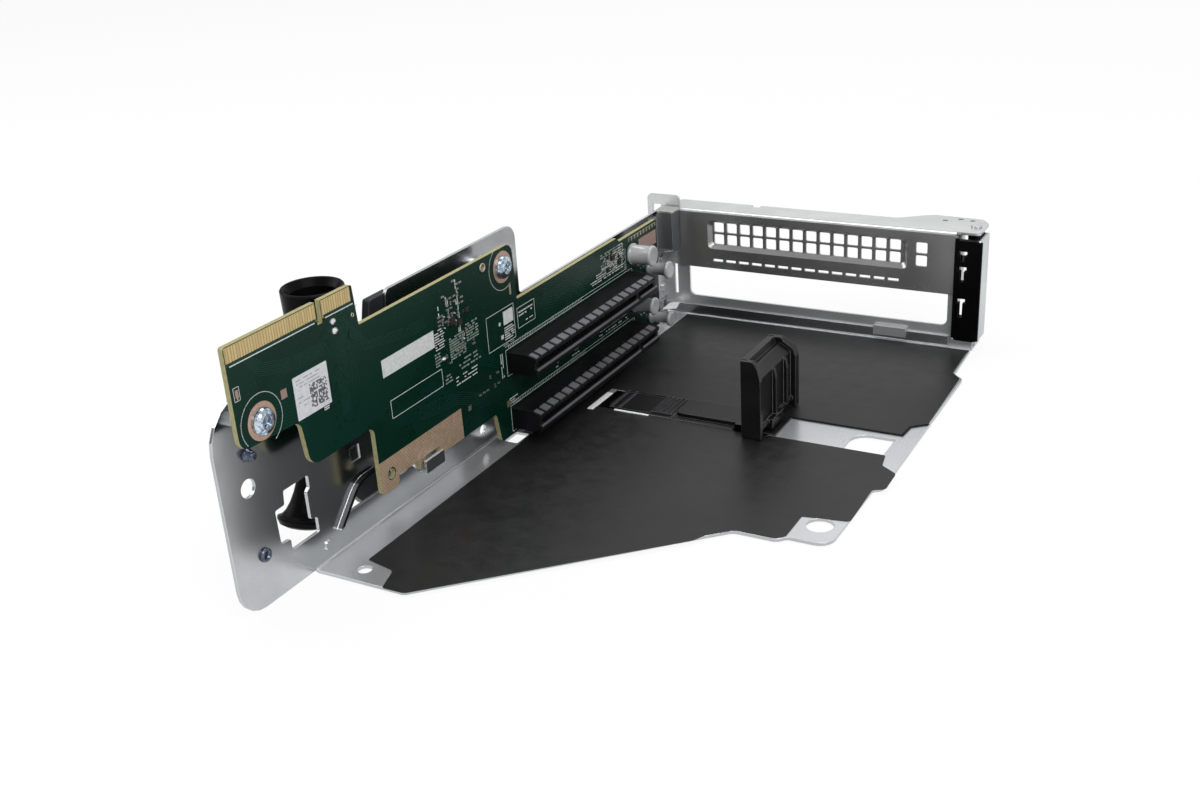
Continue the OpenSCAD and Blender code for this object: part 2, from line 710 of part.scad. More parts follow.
// Rows of small capacitors as [y, z, pitch along y, pitch along z, count]
capacitor_rows = [[-33.2, edge_top - 16.2, 0, -2.2, 4], [-22, edge_top - 24.2, 0, -2.4, 5],
                  [-33.6, edge_top - 36.2, 2.4, 0, 4], [-21.5, edge_top - 40.2, 0, -2.2, 3],
                  [thick_post_at[0] + thick_post_r + 1.5, thick_post_at[1] + 3.8, 2.2, 0, 4],
                  [thick_post_at[0] - thick_post_r - 1.5, thick_post_at[1] - 0.6, 0, -2, 2]];

module board_capacitors() color([0.62, 0.52, 0.40]) {
    for (row = capacitor_rows, i = [0 : row[4] - 1]) {
        y = row[0] + i * row[2];
        z = row[1] + i * row[3];
        block([0, y - 0.5, z - 0.3], [0.5, y + 0.5, z + 0.3]);
    }
}

module board_label() color([0.93, 0.93, 0.92])
    yz_plate(0, 0.08) rounded_rect([label_y[0], label_z[0]], [label_y[1], label_z[1]], 0.3);

// ---------------------------------------------------------------- card slots

card_depth = 8.2;
block_pitch = (slot_l - 5) / slot_blocks;
contact_pitch = 2;

// Section of the housing: the outer edge of the upper wall is chamfered
module slot_section(z) {
    polygon([[0, z - slot_w], [slot_h - 0.6, z - slot_w], [slot_h, z - slot_w + 0.6],
             [slot_h, z - slot_w / 2 - card_gap / 2 - 0.5], [slot_h - 0.7, z - slot_w / 2 - card_gap / 2],
             [slot_h - 0.7, z - slot_w / 2 + card_gap / 2], [slot_h, z - slot_w / 2 + card_gap / 2 + 0.5],
             [slot_h, z - 1.1], [slot_h - 3.6, z], [0, z]]);
}

module slot_housing(z) {
    difference() {
        translate([0, slot_l, 0]) rotate([90, 0, 0]) linear_extrude(slot_l) slot_section(z);
        // Card opening, in two stretches with the key between them
        block([slot_h - card_depth, 2, z - slot_w / 2 - card_gap / 2],
              [slot_h + past, key_y, z - slot_w / 2 + card_gap / 2]);
        block([slot_h - card_depth, key_y + 1.7, z - slot_w / 2 - card_gap / 2],
              [slot_h + past, slot_l - 2, z - slot_w / 2 + card_gap / 2]);
        // Narrow slots that leave raised blocks along the upper lip
        for (i = [1 : slot_blocks])
            block([slot_h - 3.9, 2.6 + i * block_pitch - 0.8, z - 1.6],
                  [slot_h + past, 2.6 + i * block_pitch, z + past]);
        // Pocket on the board side for the contact tails
        block([-past, 4, z - slot_w + 1], [0.5, slot_l - 4, z - 1]);
    }
}

module slot_contacts(z) {
    for (side = [-1, 1], i = [0 : floor((slot_l - 8) / contact_pitch) - 1]) {
        y = 4 + contact_pitch * (i + 0.5);
        if (abs(y - key_y - 0.85) > 1.8)
            block([slot_h - card_depth, y - 0.35, z - slot_w / 2 + side * (card_gap / 2 - 0.15) - 0.15],
                  [slot_h - 2.2, y + 0.35, z - slot_w / 2 + side * (card_gap / 2 - 0.15) + 0.15]);
    }
}

module slot_1_housing() color([0.10, 0.10, 0.11]) slot_housing(slot_tops[0]);
module slot_2_housing() color([0.10, 0.10, 0.11]) slot_housing(slot_tops[1]);
module slot_1_contacts() color([0.82, 0.68, 0.32]) slot_contacts(slot_tops[0]);
module slot_2_contacts() color([0.82, 0.68, 0.32]) slot_contacts(slot_tops[1]);

// ---------------------------------------------------------------- guide posts

// Flanged post that stands on the board at [y, z]
module guide_post(at, r, flange_r) {
    translate([0, at[0], at[1]]) {
        x_rod(0, post_h, r);
        x_rod(post_h, post_flange_t, flange_r);
    }
}

// Pair of posts behind a slot whose middle is at height z
module guide_posts(z) {
    guide_post([slot_l, z] + thick_post_reach, thick_post_r, thick_post_r + 0.6);
    guide_post([slot_l, z] + thin_post_reach, thin_post_r, thin_post_r + 1.9);
}

module guide_posts_1() color([0.78, 0.79, 0.80]) guide_posts(slot_mids[0]);
module guide_posts_2() color([0.78, 0.79, 0.80]) guide_posts(slot_mids[1]);

// ---------------------------------------------------------------- insulator

film_corners = [
    [film_left, -84.5, 0.5], [12.6, -86.8, 2.5], [15.3, -95.6, 1], [22.8, -95.4, 3], [84.6, -37.4, 5],
    [86.6, -33.4, 3], [ear_x - 15.4, -27, 4], [ear_x - 3, -27, 3], [ear_x - 0.5, -24.6, 1],
    [ear_x - 0.5, -11.7, 0.6],
    [tray_w - 2.2, -9.3, 1], [tray_w - 2.6, 12.2, 1.5], [tray_w + 1, 14, 2], [tray_w + 0.8, 25, 2],
    [tray_w - 5, 29, 2], [tray_w - 6.2, channel_y, 0.8]];
film_rear_corners = [
    [tray_w - 6.2, channel_y + channel_w, 0.8], [tray_w - 5.6, 59.4, 1], [tray_w - 0.4, 63.8, 1.2],
    [tray_w - 1, notch_y - 4.2, 1.5], [tray_w - 4.6, notch_y, 1], [tray_w - 5.2, notch_y + 18.5, 1],
    [tray_w - 4.8, rear_in - 2.6, 0], [film_left, rear_in - 2.6, 0]];

module insulator() color([0.10, 0.10, 0.11]) {
    difference() {
        flat_plate(sheet_t, film_t) polygon(outline(concat(
            film_corners,
            [[9.4, channel_y, 0.5], [9.4, channel_y + channel_w, 0.5]],
            film_rear_corners)));
        // Relief round the two slide guides
        block([guide_x[0] - 0.6, channel_mid - slide_w / 2 - 1.8, 0],
              [guide_x[1] + 0.6, channel_mid + slide_w / 2 + 1.8, 3]);
    }
}

// ---------------------------------------------------------------- card holder

slide_right = holder_x + holder_t + 2;
slide_left = slide_right - slide_l - 10.2;
holder_y = [channel_y - 5.2, channel_y - 5.2 + holder_l];
holder_z = slide_z + slide_t;
skirt_z = sheet_t + film_t + 0.35;
end_t = 3;
back_t = 2.2;
relief_z = guide_top + sheet_t + 0.3;

// Sliding plate with its shallow pocket, grip ribs and raised tongue
module slide_plate() {
    half = slide_w / 2;
    inner = half - 2.3;
    translate([slide_left, channel_mid, 0]) {
        difference() {
            flat_plate(slide_z, slide_t)
                polygon(outline([[0, 1.2 - half, 0.6], [20.4, 1.2 - half, 0], [20.4, -half, 0],
                                 [slide_right - slide_left, -half, 0.8],
                                 [slide_right - slide_left, half, 0.8], [0, half, 0.6]]));
            block([8.4, 3 - half, holder_z - 0.6], [19.4, half - 2.6, holder_z + past]);
            // Grooves that leave the grip ribs
            for (i = [0 : grip_ribs])
                block([21.6 + i * 1.8, 0.8 - half, holder_z - 0.5],
                      [22.5 + i * 1.8, half - 0.8, holder_z + past]);
        }
        flat_plate(holder_z - 0.1, 0.8)
            polygon(outline([[34, -inner, 3], [holder_x - slide_left, -inner, 0],
                             [holder_x - slide_left, inner, 0], [34, inner, 1]]));
    }
}

// Upright: a web between two end flanges, with two stiffening ribs
module upright() {
    x1 = holder_x + holder_t;
    difference() {
        union() {
            // End flanges; the far one has a sloping top
            xz_plate(holder_y[0], end_t)
                polygon(outline([[holder_x, skirt_z, 0], [x1 - 0.7, skirt_z, 0.5],
                                 [x1 - 0.7, holder_h, 1.2], [holder_x, holder_h, 0.6]]));
            yz_plate(holder_x, back_t)
                polygon(outline([[holder_y[0], skirt_z, 0], [holder_y[1], skirt_z, 0],
                                 [holder_y[1], holder_h - 5.4, 1], [holder_y[1] - 7, holder_h, 1],
                                 [holder_y[0], holder_h, 0.5]]));
            yz_plate(holder_x, holder_t)
                polygon(outline([[holder_y[1] - end_t, skirt_z, 0], [holder_y[1], skirt_z, 0],
                                 [holder_y[1], holder_h - 5.4, 0.8],
                                 [holder_y[1] - end_t, holder_h - 5.4 + end_t * 5.4 / 7, 0.4]]));
            // Top flange of the recessed panel
            yz_plate(holder_x, holder_t - 1.6)
                polygon([[holder_y[0], holder_h - 2.2], [holder_y[1] - 7, holder_h - 2.2],
                         [holder_y[1] - 7, holder_h], [holder_y[0], holder_h]]);
            // Stiffening ribs and the foot of the panel
            for (y = [holder_y[0] + holder_l * 0.42, holder_y[0] + holder_l * 0.66])
                block([holder_x, y, relief_z], [x1 - 2.8, y + 1.6, holder_h - 1]);
            block([holder_x, channel_mid - 5, holder_z - 0.1], [x1, channel_mid + 5, relief_z + 1.6]);
            block([holder_x, holder_y[0], relief_z], [x1 - 1, holder_y[1], relief_z + 1.6]);
        }
        // Relief over the slide guides, open along the travel
        for (side = [-1, 1]) {
            edge = channel_mid + side * (slide_w / 2 + 1.5);
            inner = channel_mid + side * (slide_w / 2 - 2.3);
            block([holder_x - past, min(edge, inner), 0],
                  [x1 + past, max(edge, inner), relief_z]);
        }
    }
}

module card_holder() color([0.09, 0.09, 0.10]) {
    slide_plate();
    upright();
}

// ---------------------------------------------------------------- latch

latch_front = rear_in - 2.4;
latch_left = ledge_x + sheet_t + filler_t + 0.4;
knuckle_r = 3;
// Windows as [height of the bar, length of the stem below it]
latch_windows = [[slot_mids[0] + 7.9, 2.4], [slot_mids[0] + 1.9, 4.2], [slot_mids[1] + 9.7, 5.8]];
// Heights of the fingers, clear of the windows
finger_z = [slot_mids[0] + 10.6, slot_mids[0] + 4.7, slot_mids[1] + 14.8, slot_mids[1] + 1.2];

module latch() color([0.08, 0.08, 0.09]) {
    difference() {
        union() {
            // Front plate, side arm and knuckle
            xz_plate(latch_front, latch_t)
                rounded_rect([latch_left, latch_z], [latch_right, latch_z + latch_h], 0.8);
            block([latch_right - 2, latch_front, latch_z], [latch_right, pivot[1], latch_z + latch_h]);
            block([pivot[0], pivot[1] - knuckle_r, latch_z],
                  [latch_right, pivot[1], latch_z + latch_h]);
            translate([pivot[0], pivot[1], latch_z]) cylinder(h = latch_h, r = knuckle_r);
            // Fingers that press on the card brackets' ears
            for (z = finger_z)
                block([latch_left, latch_front + 1, z - 0.8], [latch_right - 1, latch_front + 8, z + 0.8]);
        }
        translate([pivot[0], pivot[1], latch_z - past])
            cylinder(h = latch_h + 2 * past, r = pin_d / 2 + latch_clear);
        // T-shaped windows beside each finger pair
        for (window = latch_windows) {
            z = window[0];
            block([latch_left + 0.6, latch_front - past, z - 0.2],
                  [latch_left + 4, latch_front + latch_t + past, z + 1.6]);
            block([latch_left + 1.5, latch_front - past, z - window[1]],
                  [latch_left + 2.9, latch_front + latch_t + past, z]);
        }
    }
}

module latch_cover() color([0.75, 0.78, 0.80]) {
    // Steel cover on the latch's outer side
    yz_plate(latch_right, 0.8)
        rounded_rect([latch_front, latch_z - 0.8], [pivot[1] + 0.5, latch_z + latch_h + 0.2], 1);
}

module latch_pin() color([0.80, 0.82, 0.84])
    translate([pivot[0], pivot[1], 0]) {
        cylinder(h = rear_h, d = pin_d);
        translate([0, 0, rear_h]) cylinder(h = 0.7, d = pin_d + 1.6);
    }

// ---------------------------------------------------------------- lift grip

cup_x = -23.5;
// Centre of the cup's rim, in Y and Z, and the depth of the upright bell under it
rim_at = [-63, 75.7];
bell_h = 20;
stem_r = 3;
stem_l = 53.8;
foot_r = 7.6;
lift_rivets_at = [[-60, 40], [-60, 56]];
web_t = 2;
// Blade: how far it stands proud of the web, and the heights of its neck and its foot
blade_rise = 0.6;
blade_neck_z = 24;
blade_foot_z = 8.2;
// Web: front edge, length, lean of its top, and its lower and upper edges
web_y = -84;
web_l = 30;
web_lean = 8;
web_z = [28, 61];

// Profile of the upright bell: radius against distance below the rim
module bell_profile() {
    r = cup_d / 2;
    polygon([[r - 2.5, -2.2], [r - 0.9, 0], [r - 0.3, 0], [r, -0.4], [r - 0.6, -bell_h],
             [0, -bell_h], [0, -cup_bore_h], [r - 3.1, -cup_bore_h]]);
}

// Profile of the leaning stem and its foot: radius against distance below the bell
module stem_profile() {
    top_r = cup_d / 2 - 2.1;
    neck_l = 16;
    polygon(concat(
        [[0, 4], [top_r - 0.6, 4]],
        [for (k = [0 : 6]) [stem_r + (top_r - stem_r) * pow(cos(k * 15), 1.5), -neck_l * sin(k * 15)]],
        [for (k = [0 : 6]) [stem_r + (foot_r - stem_r) * (1 - cos(k * 15)),
                            neck_l + 2 - stem_l - (neck_l - 1) * sin(k * 15)]],
        [[foot_r, 2.2 - stem_l], [foot_r - 0.9, 0.7 - stem_l], [foot_r - 2.6, -stem_l], [0, -stem_l]]));
}

rib_z = [32, 46];

// Cup, stem and foot, with the two ribs that seat on the plate
module lift_cup() color([0.10, 0.10, 0.11]) {
    translate([cup_x, rim_at[0], rim_at[1]]) rotate_extrude() bell_profile();
    translate([cup_x, rim_at[0], rim_at[1] - bell_h]) rotate([-grip_lean, 0, 0])
        rotate_extrude() stem_profile();
    for (z = rib_z) {
        y = rim_at[0] - (rim_at[1] - bell_h - z) * tan(grip_lean);
        block([cup_x, y - stem_r + 0.8, z - 2], [wall_out - web_t, y + stem_r - 0.8, z + 2]);
    }
}

module lift_plate() color([0.12, 0.12, 0.13]) {
    difference() {
        union() {
            // Web on the outside of the wall
            yz_plate(wall_out - web_t, web_t) polygon(outline([
                [web_y, web_z[0], 3], [web_y + web_l, web_z[0], 3],
                [web_y + web_l + web_lean, web_z[1], 4], [web_y + web_lean, web_z[1], 4]]));
            // Leaning blade with a flared end
            yz_plate(wall_out - web_t - blade_rise, web_t + blade_rise)
                polygon(outline([[-54.6, shoulder_z, 1], [-43.8, shoulder_z, 1],
                                 [-57, blade_neck_z, 6], [-62, blade_foot_z, 1.5],
                                 [-69, blade_foot_z + 1.2, 2], [-74, blade_foot_z + 7.4, 1.5],
                                 [-66.6, blade_neck_z, 8]]));
        }
        for (p = lift_rivets_at)
            translate([0, p[0], p[1]]) x_rod(wall_out - web_t - 3, web_t + 4, rivet_r);
    }
}

module lift_rivets() color([0.70, 0.72, 0.74]) {
    for (p = lift_rivets_at) translate([0, p[0], p[1]]) {
        x_rod(wall_out - web_t - blade_rise, web_t + blade_rise + sheet_t, rivet_r);
        x_rod(wall_in, 0.7, rivet_head_d / 2 - 0.5);
    }
}

nut_spigot_r = 2;

// Self-clinching nuts on the outside of the front plate
module clinch_nuts() color([0.68, 0.70, 0.72]) {
    for (p = wall_bosses) translate([0, p[0], p[1]]) difference() {
        union() {
            x_rod(wall_out - 1.6, 1.6, 2.9);
            x_rod(wall_out, sheet_t - 0.1, nut_spigot_r);
        }
        x_rod(wall_out - 2, 4, 1.25);
    }
}

// ---------------------------------------------------------------- output

cage_sheet();
rear_wall();
tongue_guide();
guide_cap();
corner_rivets();
filler_bracket();
riser_board();
edge_contacts_front();
edge_contacts_back();
ground_strip();
screw_rings();
board_screws();
board_standoffs();
board_chips();
board_capacitors();
board_label();
slot_1_housing();
slot_2_housing();
slot_1_contacts();
slot_2_contacts();
guide_posts_1();
guide_posts_2();
insulator();
card_holder();
latch();
latch_cover();
latch_pin();
lift_cup();
lift_plate();
lift_rivets();
clinch_nuts();
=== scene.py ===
# %% [markdown]
# # Dressing a riser cage
#
# A riser cage is the folded steel frame that turns expansion cards on their side inside a flat
# server. This lesson takes its exact solids, made in a CAD program, and gives them the look of
# the real thing: plated steel, green solder mask, gold contacts, moulded black plastic and a
# thin insulating film. Lengths are written in millimetres, in the frame of the CAD model: X
# points from the riser board towards the cards, Y towards the rear wall, and Z up from the tray.

# %% Load the solids
import math
import random

import bpy
import bmesh
from mathutils import Matrix, Vector


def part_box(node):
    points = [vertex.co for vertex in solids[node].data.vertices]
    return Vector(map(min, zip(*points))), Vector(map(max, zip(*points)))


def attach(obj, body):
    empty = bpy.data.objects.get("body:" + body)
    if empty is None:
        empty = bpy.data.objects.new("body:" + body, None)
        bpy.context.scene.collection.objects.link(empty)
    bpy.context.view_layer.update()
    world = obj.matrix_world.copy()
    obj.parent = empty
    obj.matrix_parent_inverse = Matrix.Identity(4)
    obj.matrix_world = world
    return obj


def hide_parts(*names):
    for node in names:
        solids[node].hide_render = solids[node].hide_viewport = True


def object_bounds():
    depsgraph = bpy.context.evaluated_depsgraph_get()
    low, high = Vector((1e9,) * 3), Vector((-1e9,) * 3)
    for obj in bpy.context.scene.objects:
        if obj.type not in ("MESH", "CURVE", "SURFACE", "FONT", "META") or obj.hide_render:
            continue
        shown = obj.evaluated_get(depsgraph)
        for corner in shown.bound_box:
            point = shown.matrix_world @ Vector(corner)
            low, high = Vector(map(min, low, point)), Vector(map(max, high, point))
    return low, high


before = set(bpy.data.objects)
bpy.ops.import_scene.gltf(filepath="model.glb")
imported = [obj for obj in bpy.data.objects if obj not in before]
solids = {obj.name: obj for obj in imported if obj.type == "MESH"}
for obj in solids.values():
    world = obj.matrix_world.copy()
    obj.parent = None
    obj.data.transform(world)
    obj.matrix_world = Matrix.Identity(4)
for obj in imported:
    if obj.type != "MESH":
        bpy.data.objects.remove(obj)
cad_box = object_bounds()

# %% Units and the object's own size
MM = 0.001
size_mm = [(high - low) / MM for low, high in zip(*cad_box)]
print("overall size in mm:", [round(length, 1) for length in size_mm])


def box_mm(node_name):
    low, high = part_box(node_name)
    return [c / MM for c in low], [c / MM for c in high]


def add_object(name, data):
    made = bpy.data.objects.new(name, data)
    bpy.context.scene.collection.objects.link(made)
    return made


# %% [markdown]
# ## The camera
#
# A long flat part is best seen from a little above, so that its open side shows. The camera
# stands in front and to the right of the cage, looks down by 24 degrees and is rolled a little,
# as a camera that is held by hand would be.

# %% Camera
CAMERA_AT = Vector((236.7, -346.7, 199.4)) * MM
CAMERA_TURN = math.radians(30.25)
CAMERA_DOWN = math.radians(23.8)
CAMERA_ROLL = math.radians(-3.71)

camera_data = bpy.data.cameras.new("camera")
camera_data.lens = 40.5
camera_data.sensor_width = 36
camera_data.clip_start = 0.01
camera_data.clip_end = 20
camera = add_object("camera", camera_data)
camera.matrix_world = (Matrix.Translation(CAMERA_AT)
                       @ Matrix.Rotation(CAMERA_TURN, 4, "Z")
                       @ Matrix.Rotation(math.pi / 2 - CAMERA_DOWN, 4, "X")
                       @ Matrix.Rotation(CAMERA_ROLL, 4, "Z"))
bpy.context.scene.camera = camera
print("camera looks along", [round(c, 2) for c in camera.matrix_world.to_3x3() @ Vector((0, 0, -1))])

# %% [markdown]
# ## Node trees in a few words
#
# Materials, the world and Geometry Nodes are all node trees. One helper adds a node, sets its
# options and fills its inputs, where an input may be a plain value or another node's output.

# %% Node helper
def add_node(tree, kind, inputs=(), **settings):
    made = tree.nodes.new(kind)
    for key, value in settings.items():
        setattr(made, key, value)
    for key, value in dict(inputs).items():
        if isinstance(value, bpy.types.NodeSocket):
            tree.links.new(value, made.inputs[key])
        else:
            made.inputs[key].default_value = value
    return made


def math_node(tree, operation, first, second=0.0):
    return add_node(tree, "ShaderNodeMath", {0: first, 1: second}, operation=operation).outputs[0]


def times(tree, first, second):
    return math_node(tree, "MULTIPLY", first, second)


def spread(tree, value, low, high, start=0.3, end=0.7):
    return add_node(tree, "ShaderNodeMapRange",
                    {"Value": value, "From Min": start, "From Max": end,
                     "To Min": low, "To Max": high}).outputs["Result"]


def axis_of(tree, vector, axis):
    return add_node(tree, "ShaderNodeSeparateXYZ", {0: vector}).outputs[axis]


def vector_of(tree, x=0.0, y=0.0, z=0.0):
    return add_node(tree, "ShaderNodeCombineXYZ", {0: x, 1: y, 2: z}).outputs[0]


# %% [markdown]
# ## Light, floor and background
#
# The background is plain white, but if the lamps alone made it so, the object would be burnt out
# too. So the camera sees a white world, reflections see a bright one, and the object itself is
# lit by a calmer sky and three soft boxes. In reflections the sky darkens towards the zenith and
# towards the left, which gives every folded face of the steel its own tone.

# %% World
def background_rays(tree):
    rays = add_node(tree, "ShaderNodeLightPath")
    seen = math_node(tree, "ADD", rays.outputs["Is Camera Ray"], rays.outputs["Is Glossy Ray"])
    return add_node(tree, "ShaderNodeMath", {0: seen, 1: rays.outputs["Is Transmission Ray"]},
                    operation="ADD", use_clamp=True).outputs[0]


world = bpy.data.worlds.new("studio")
world.use_nodes = True
sky = world.node_tree
sky.nodes.clear()
direction = add_node(sky, "ShaderNodeTexCoord").outputs["Generated"]
upward_tone = spread(sky, axis_of(sky, direction, "Z"), 1.0, 0.34, 0.25, 0.95)
left_tone = spread(sky, axis_of(sky, direction, "X"), 0.3, 1.0, -0.60, -0.40)
plain_white = add_node(sky, "ShaderNodeLightPath").outputs["Is Camera Ray"]
backdrop_tone = math_node(sky, "MAXIMUM", times(sky, upward_tone, left_tone), plain_white)
lighting_sky = add_node(sky, "ShaderNodeBackground", {"Color": (0.96, 0.98, 1.0, 1), "Strength": 0.50})
backdrop_sky = add_node(sky, "ShaderNodeBackground", {"Color": backdrop_tone, "Strength": 1.0})
sky_mix = add_node(sky, "ShaderNodeMixShader",
                   {0: background_rays(sky), 1: lighting_sky.outputs[0], 2: backdrop_sky.outputs[0]})
add_node(sky, "ShaderNodeOutputWorld", {"Surface": sky_mix.outputs[0]})
bpy.context.scene.world = world
bpy.context.scene.view_settings.view_transform = "Standard"
print("world tree has", len(sky.nodes), "nodes")

# %% Lamps
centre = (Vector(cad_box[0]) + Vector(cad_box[1])) / 2


def add_softbox(name, offset, size, power):
    data = bpy.data.lights.new(name, "AREA")
    data.shape = "RECTANGLE"
    data.size, data.size_y = size
    data.energy = power
    aim = (-Vector(offset)).to_track_quat("-Z", "Y").to_matrix().to_4x4()
    add_object(name, data).matrix_world = Matrix.Translation(centre + Vector(offset)) @ aim


add_softbox("key_softbox", (0.75, -0.55, 0.95), (0.9, 0.7), 10)
add_softbox("left_softbox", (-0.95, -0.35, 0.60), (0.8, 0.8), 5)
add_softbox("top_softbox", (-0.20, 0.45, 1.25), (1.0, 0.6), 8)
print("three softboxes round", [round(c, 3) for c in centre])

# %% Floor
FLOOR_HALF = 3.0
FLOOR_Z = -0.3 * MM
floor_mesh = bpy.data.meshes.new("floor")
floor_corners = [(x * FLOOR_HALF, y * FLOOR_HALF, FLOOR_Z) for x, y in ((-1, -1), (1, -1), (1, 1), (-1, 1))]
floor_mesh.from_pydata(floor_corners, [], [(0, 1, 2, 3)])
floor = add_object("floor", floor_mesh)
floor_material = bpy.data.materials.new("floor_white")
floor_material.use_nodes = True
tree = floor_material.node_tree
tree.nodes.clear()
lit = add_node(tree, "ShaderNodeBsdfDiffuse", {"Color": (0.80, 0.80, 0.80, 1)})
glow = add_node(tree, "ShaderNodeEmission", {"Color": (1, 1, 1, 1), "Strength": 1.0})
shown = add_node(tree, "ShaderNodeMixShader", {0: 0.90, 1: lit.outputs[0], 2: glow.outputs[0]})
surface = add_node(tree, "ShaderNodeMixShader",
                   {0: background_rays(tree), 1: lit.outputs[0], 2: shown.outputs[0]})
add_node(tree, "ShaderNodeOutputMaterial", {"Surface": surface.outputs[0]})
floor_mesh.materials.append(floor_material)
print("floor is", 2 * FLOOR_HALF, "m wide")

# %% [markdown]
# ## Helpers for materials
#
# Every finish starts from the same shader and reads Object coordinates, so a pattern keeps its
# real size and stays on the piece when it moves. A Bevel node rounds the look of sharp edges,
# which is where real parts catch the light.

# %% Material helpers
SOCKET_NAMES = {"ior": "IOR", "specular": "Specular IOR Level"}


def new_finish(name, **sockets):
    material = bpy.data.materials.new(name)
    material.use_nodes = True
    shader = material.node_tree.nodes["Principled BSDF"]
    for key, value in sockets.items():
        shader.inputs[SOCKET_NAMES.get(key, key.title())].default_value = value
    return material, material.node_tree


def wire(material, colour, roughness, normal, metallic=None):
    tree = material.node_tree
    for socket, value in (("Base Color", colour), ("Roughness", roughness), ("Normal", normal),
                          ("Metallic", metallic)):
        if value is not None:
            tree.links.new(value, tree.nodes["Principled BSDF"].inputs[socket])
    return material


def object_point(tree, scale=(1, 1, 1), turn=(0, 0, 0)):
    point = add_node(tree, "ShaderNodeTexCoord").outputs["Object"]
    return add_node(tree, "ShaderNodeMapping", {"Vector": point, "Scale": scale, "Rotation": turn}).outputs[0]


def noise(tree, scale, detail=3.0, roughness=0.55, stretch=(1, 1, 1), turn=(0, 0, 0)):
    return add_node(tree, "ShaderNodeTexNoise",
                    {"Vector": object_point(tree, stretch, turn), "Scale": scale, "Detail": detail,
                     "Roughness": roughness}).outputs[0]


def two_tone(tree, factor, first, second):
    made = add_node(tree, "ShaderNodeMix", {0: factor}, data_type="RGBA")
    for socket, colour in ((made.inputs[6], first), (made.inputs[7], second)):
        if isinstance(colour, bpy.types.NodeSocket):
            tree.links.new(colour, socket)
        else:
            socket.default_value = (*colour, 1)
    return made.outputs[2]


def grain(tree, height, strength, distance, edge=0.0002):
    rounded = add_node(tree, "ShaderNodeBevel", {"Radius": edge}, samples=4).outputs[0]
    return add_node(tree, "ShaderNodeBump",
                    {"Strength": strength, "Distance": distance, "Height": height,
                     "Normal": rounded}).outputs[0]


def speckled(name, dark, light, roughness, pattern, relief, stretch=(1, 1, 1), span=(0.3, 0.7), **sockets):
    material, tree = new_finish(name, **sockets)
    specks = noise(tree, *pattern, stretch=stretch)
    return wire(material, two_tone(tree, spread(tree, specks, 0, 1, *span), dark, light),
                spread(tree, specks, *roughness), grain(tree, specks, *relief))


def dress(node_name, material):
    mesh = solids[node_name].data
    mesh.materials.clear()
    mesh.materials.append(material)


# %% [markdown]
# ## Plated sheet steel
#
# The cage is folded from steel sheet with a thin zinc coat. Rolling leaves long fine lines in
# it, the coat dries in faint clouds, and handling leaves duller smudges. Noise stretched along
# the rolling direction gives the lines and large soft noise gives the clouds. The edges get a
# colour of their own: a painted highlight on most parts, painted shade on the folds of the rear
# wall and the filler. Two places on the cage are darkened as painted shade: the tray under the
# holder, between its guides, and the rim round the opening for the foot.

# %% Zinc-plated sheet
ALONG_X, ALONG_Y, ALONG_Z = (0.03, 1, 1), (1, 0.03, 1), (1, 1, 0.03)


def edge_wear_and_painted_light(tree, width):
    plain = add_node(tree, "ShaderNodeNewGeometry").outputs["Normal"]
    rounded = add_node(tree, "ShaderNodeBevel", {"Radius": width}, samples=4).outputs[0]
    same = add_node(tree, "ShaderNodeVectorMath", {0: plain, 1: rounded}, operation="DOT_PRODUCT")
    return spread(tree, same.outputs["Value"], 1, 0, 0.86, 0.99)


def faces_up(tree):
    normal = add_node(tree, "ShaderNodeTexCoord").outputs["Normal"]
    return spread(tree, axis_of(tree, normal, "Z"), 0, 1, 0.6, 0.9)


def inside_box(tree, low, high):
    place = object_point(tree)
    mask = 1.0
    for axis in range(3):
        level = axis_of(tree, place, axis)
        past_low = math_node(tree, "GREATER_THAN", level, low[axis] * MM)
        before_high = math_node(tree, "LESS_THAN", level, high[axis] * MM)
        mask = times(tree, times(tree, past_low, before_high), mask)
    return mask


def zinc_sheet(name, dark, light, roughness, rolling=ALONG_Y, edge=(0.80, 0.82, 0.83), metallic=0.82,
               dust=None, painted=()):
    material, tree = new_finish(name, metallic=metallic)
    clouds = noise(tree, 34, 5, 0.6)
    lines = noise(tree, 2200, 2, stretch=rolling)
    smudge = noise(tree, 14, 2, stretch=(1, 0.6, 1), turn=(0.4, 0.2, 0.7))
    tone = math_node(tree, "ADD", clouds, times(tree, lines, 0.10))
    body = two_tone(tree, spread(tree, tone, 0, 1, 0.38, 0.72), dark, light)
    shine = None
    # Faces that look up take the dust colours and less metal: dust, and painted light that makes the tops
    # lighter.
    if dust:
        up = faces_up(tree)
        body = two_tone(tree, up, body, two_tone(tree, clouds, *dust))
        shine = spread(tree, up, metallic, metallic - 0.3, 0, 1)
    # Edges take the edge colour: a painted highlight where it is lighter than the sheet, painted shade where
    # it is darker.
    body = two_tone(tree, times(tree, edge_wear_and_painted_light(tree, 0.35 * MM), 0.7), body, edge)
    for low, high, colour in painted:
        body = two_tone(tree, inside_box(tree, low, high), body, colour)
    rough = math_node(tree, "ADD", spread(tree, tone, 0.03, -0.03, 0.38, 0.72),
                      spread(tree, smudge, roughness + 0.08, roughness - 0.02, 0.38, 0.60))
    return wire(material, body, rough, grain(tree, lines, 0.03, 0.00002, 0.3 * MM), shine)


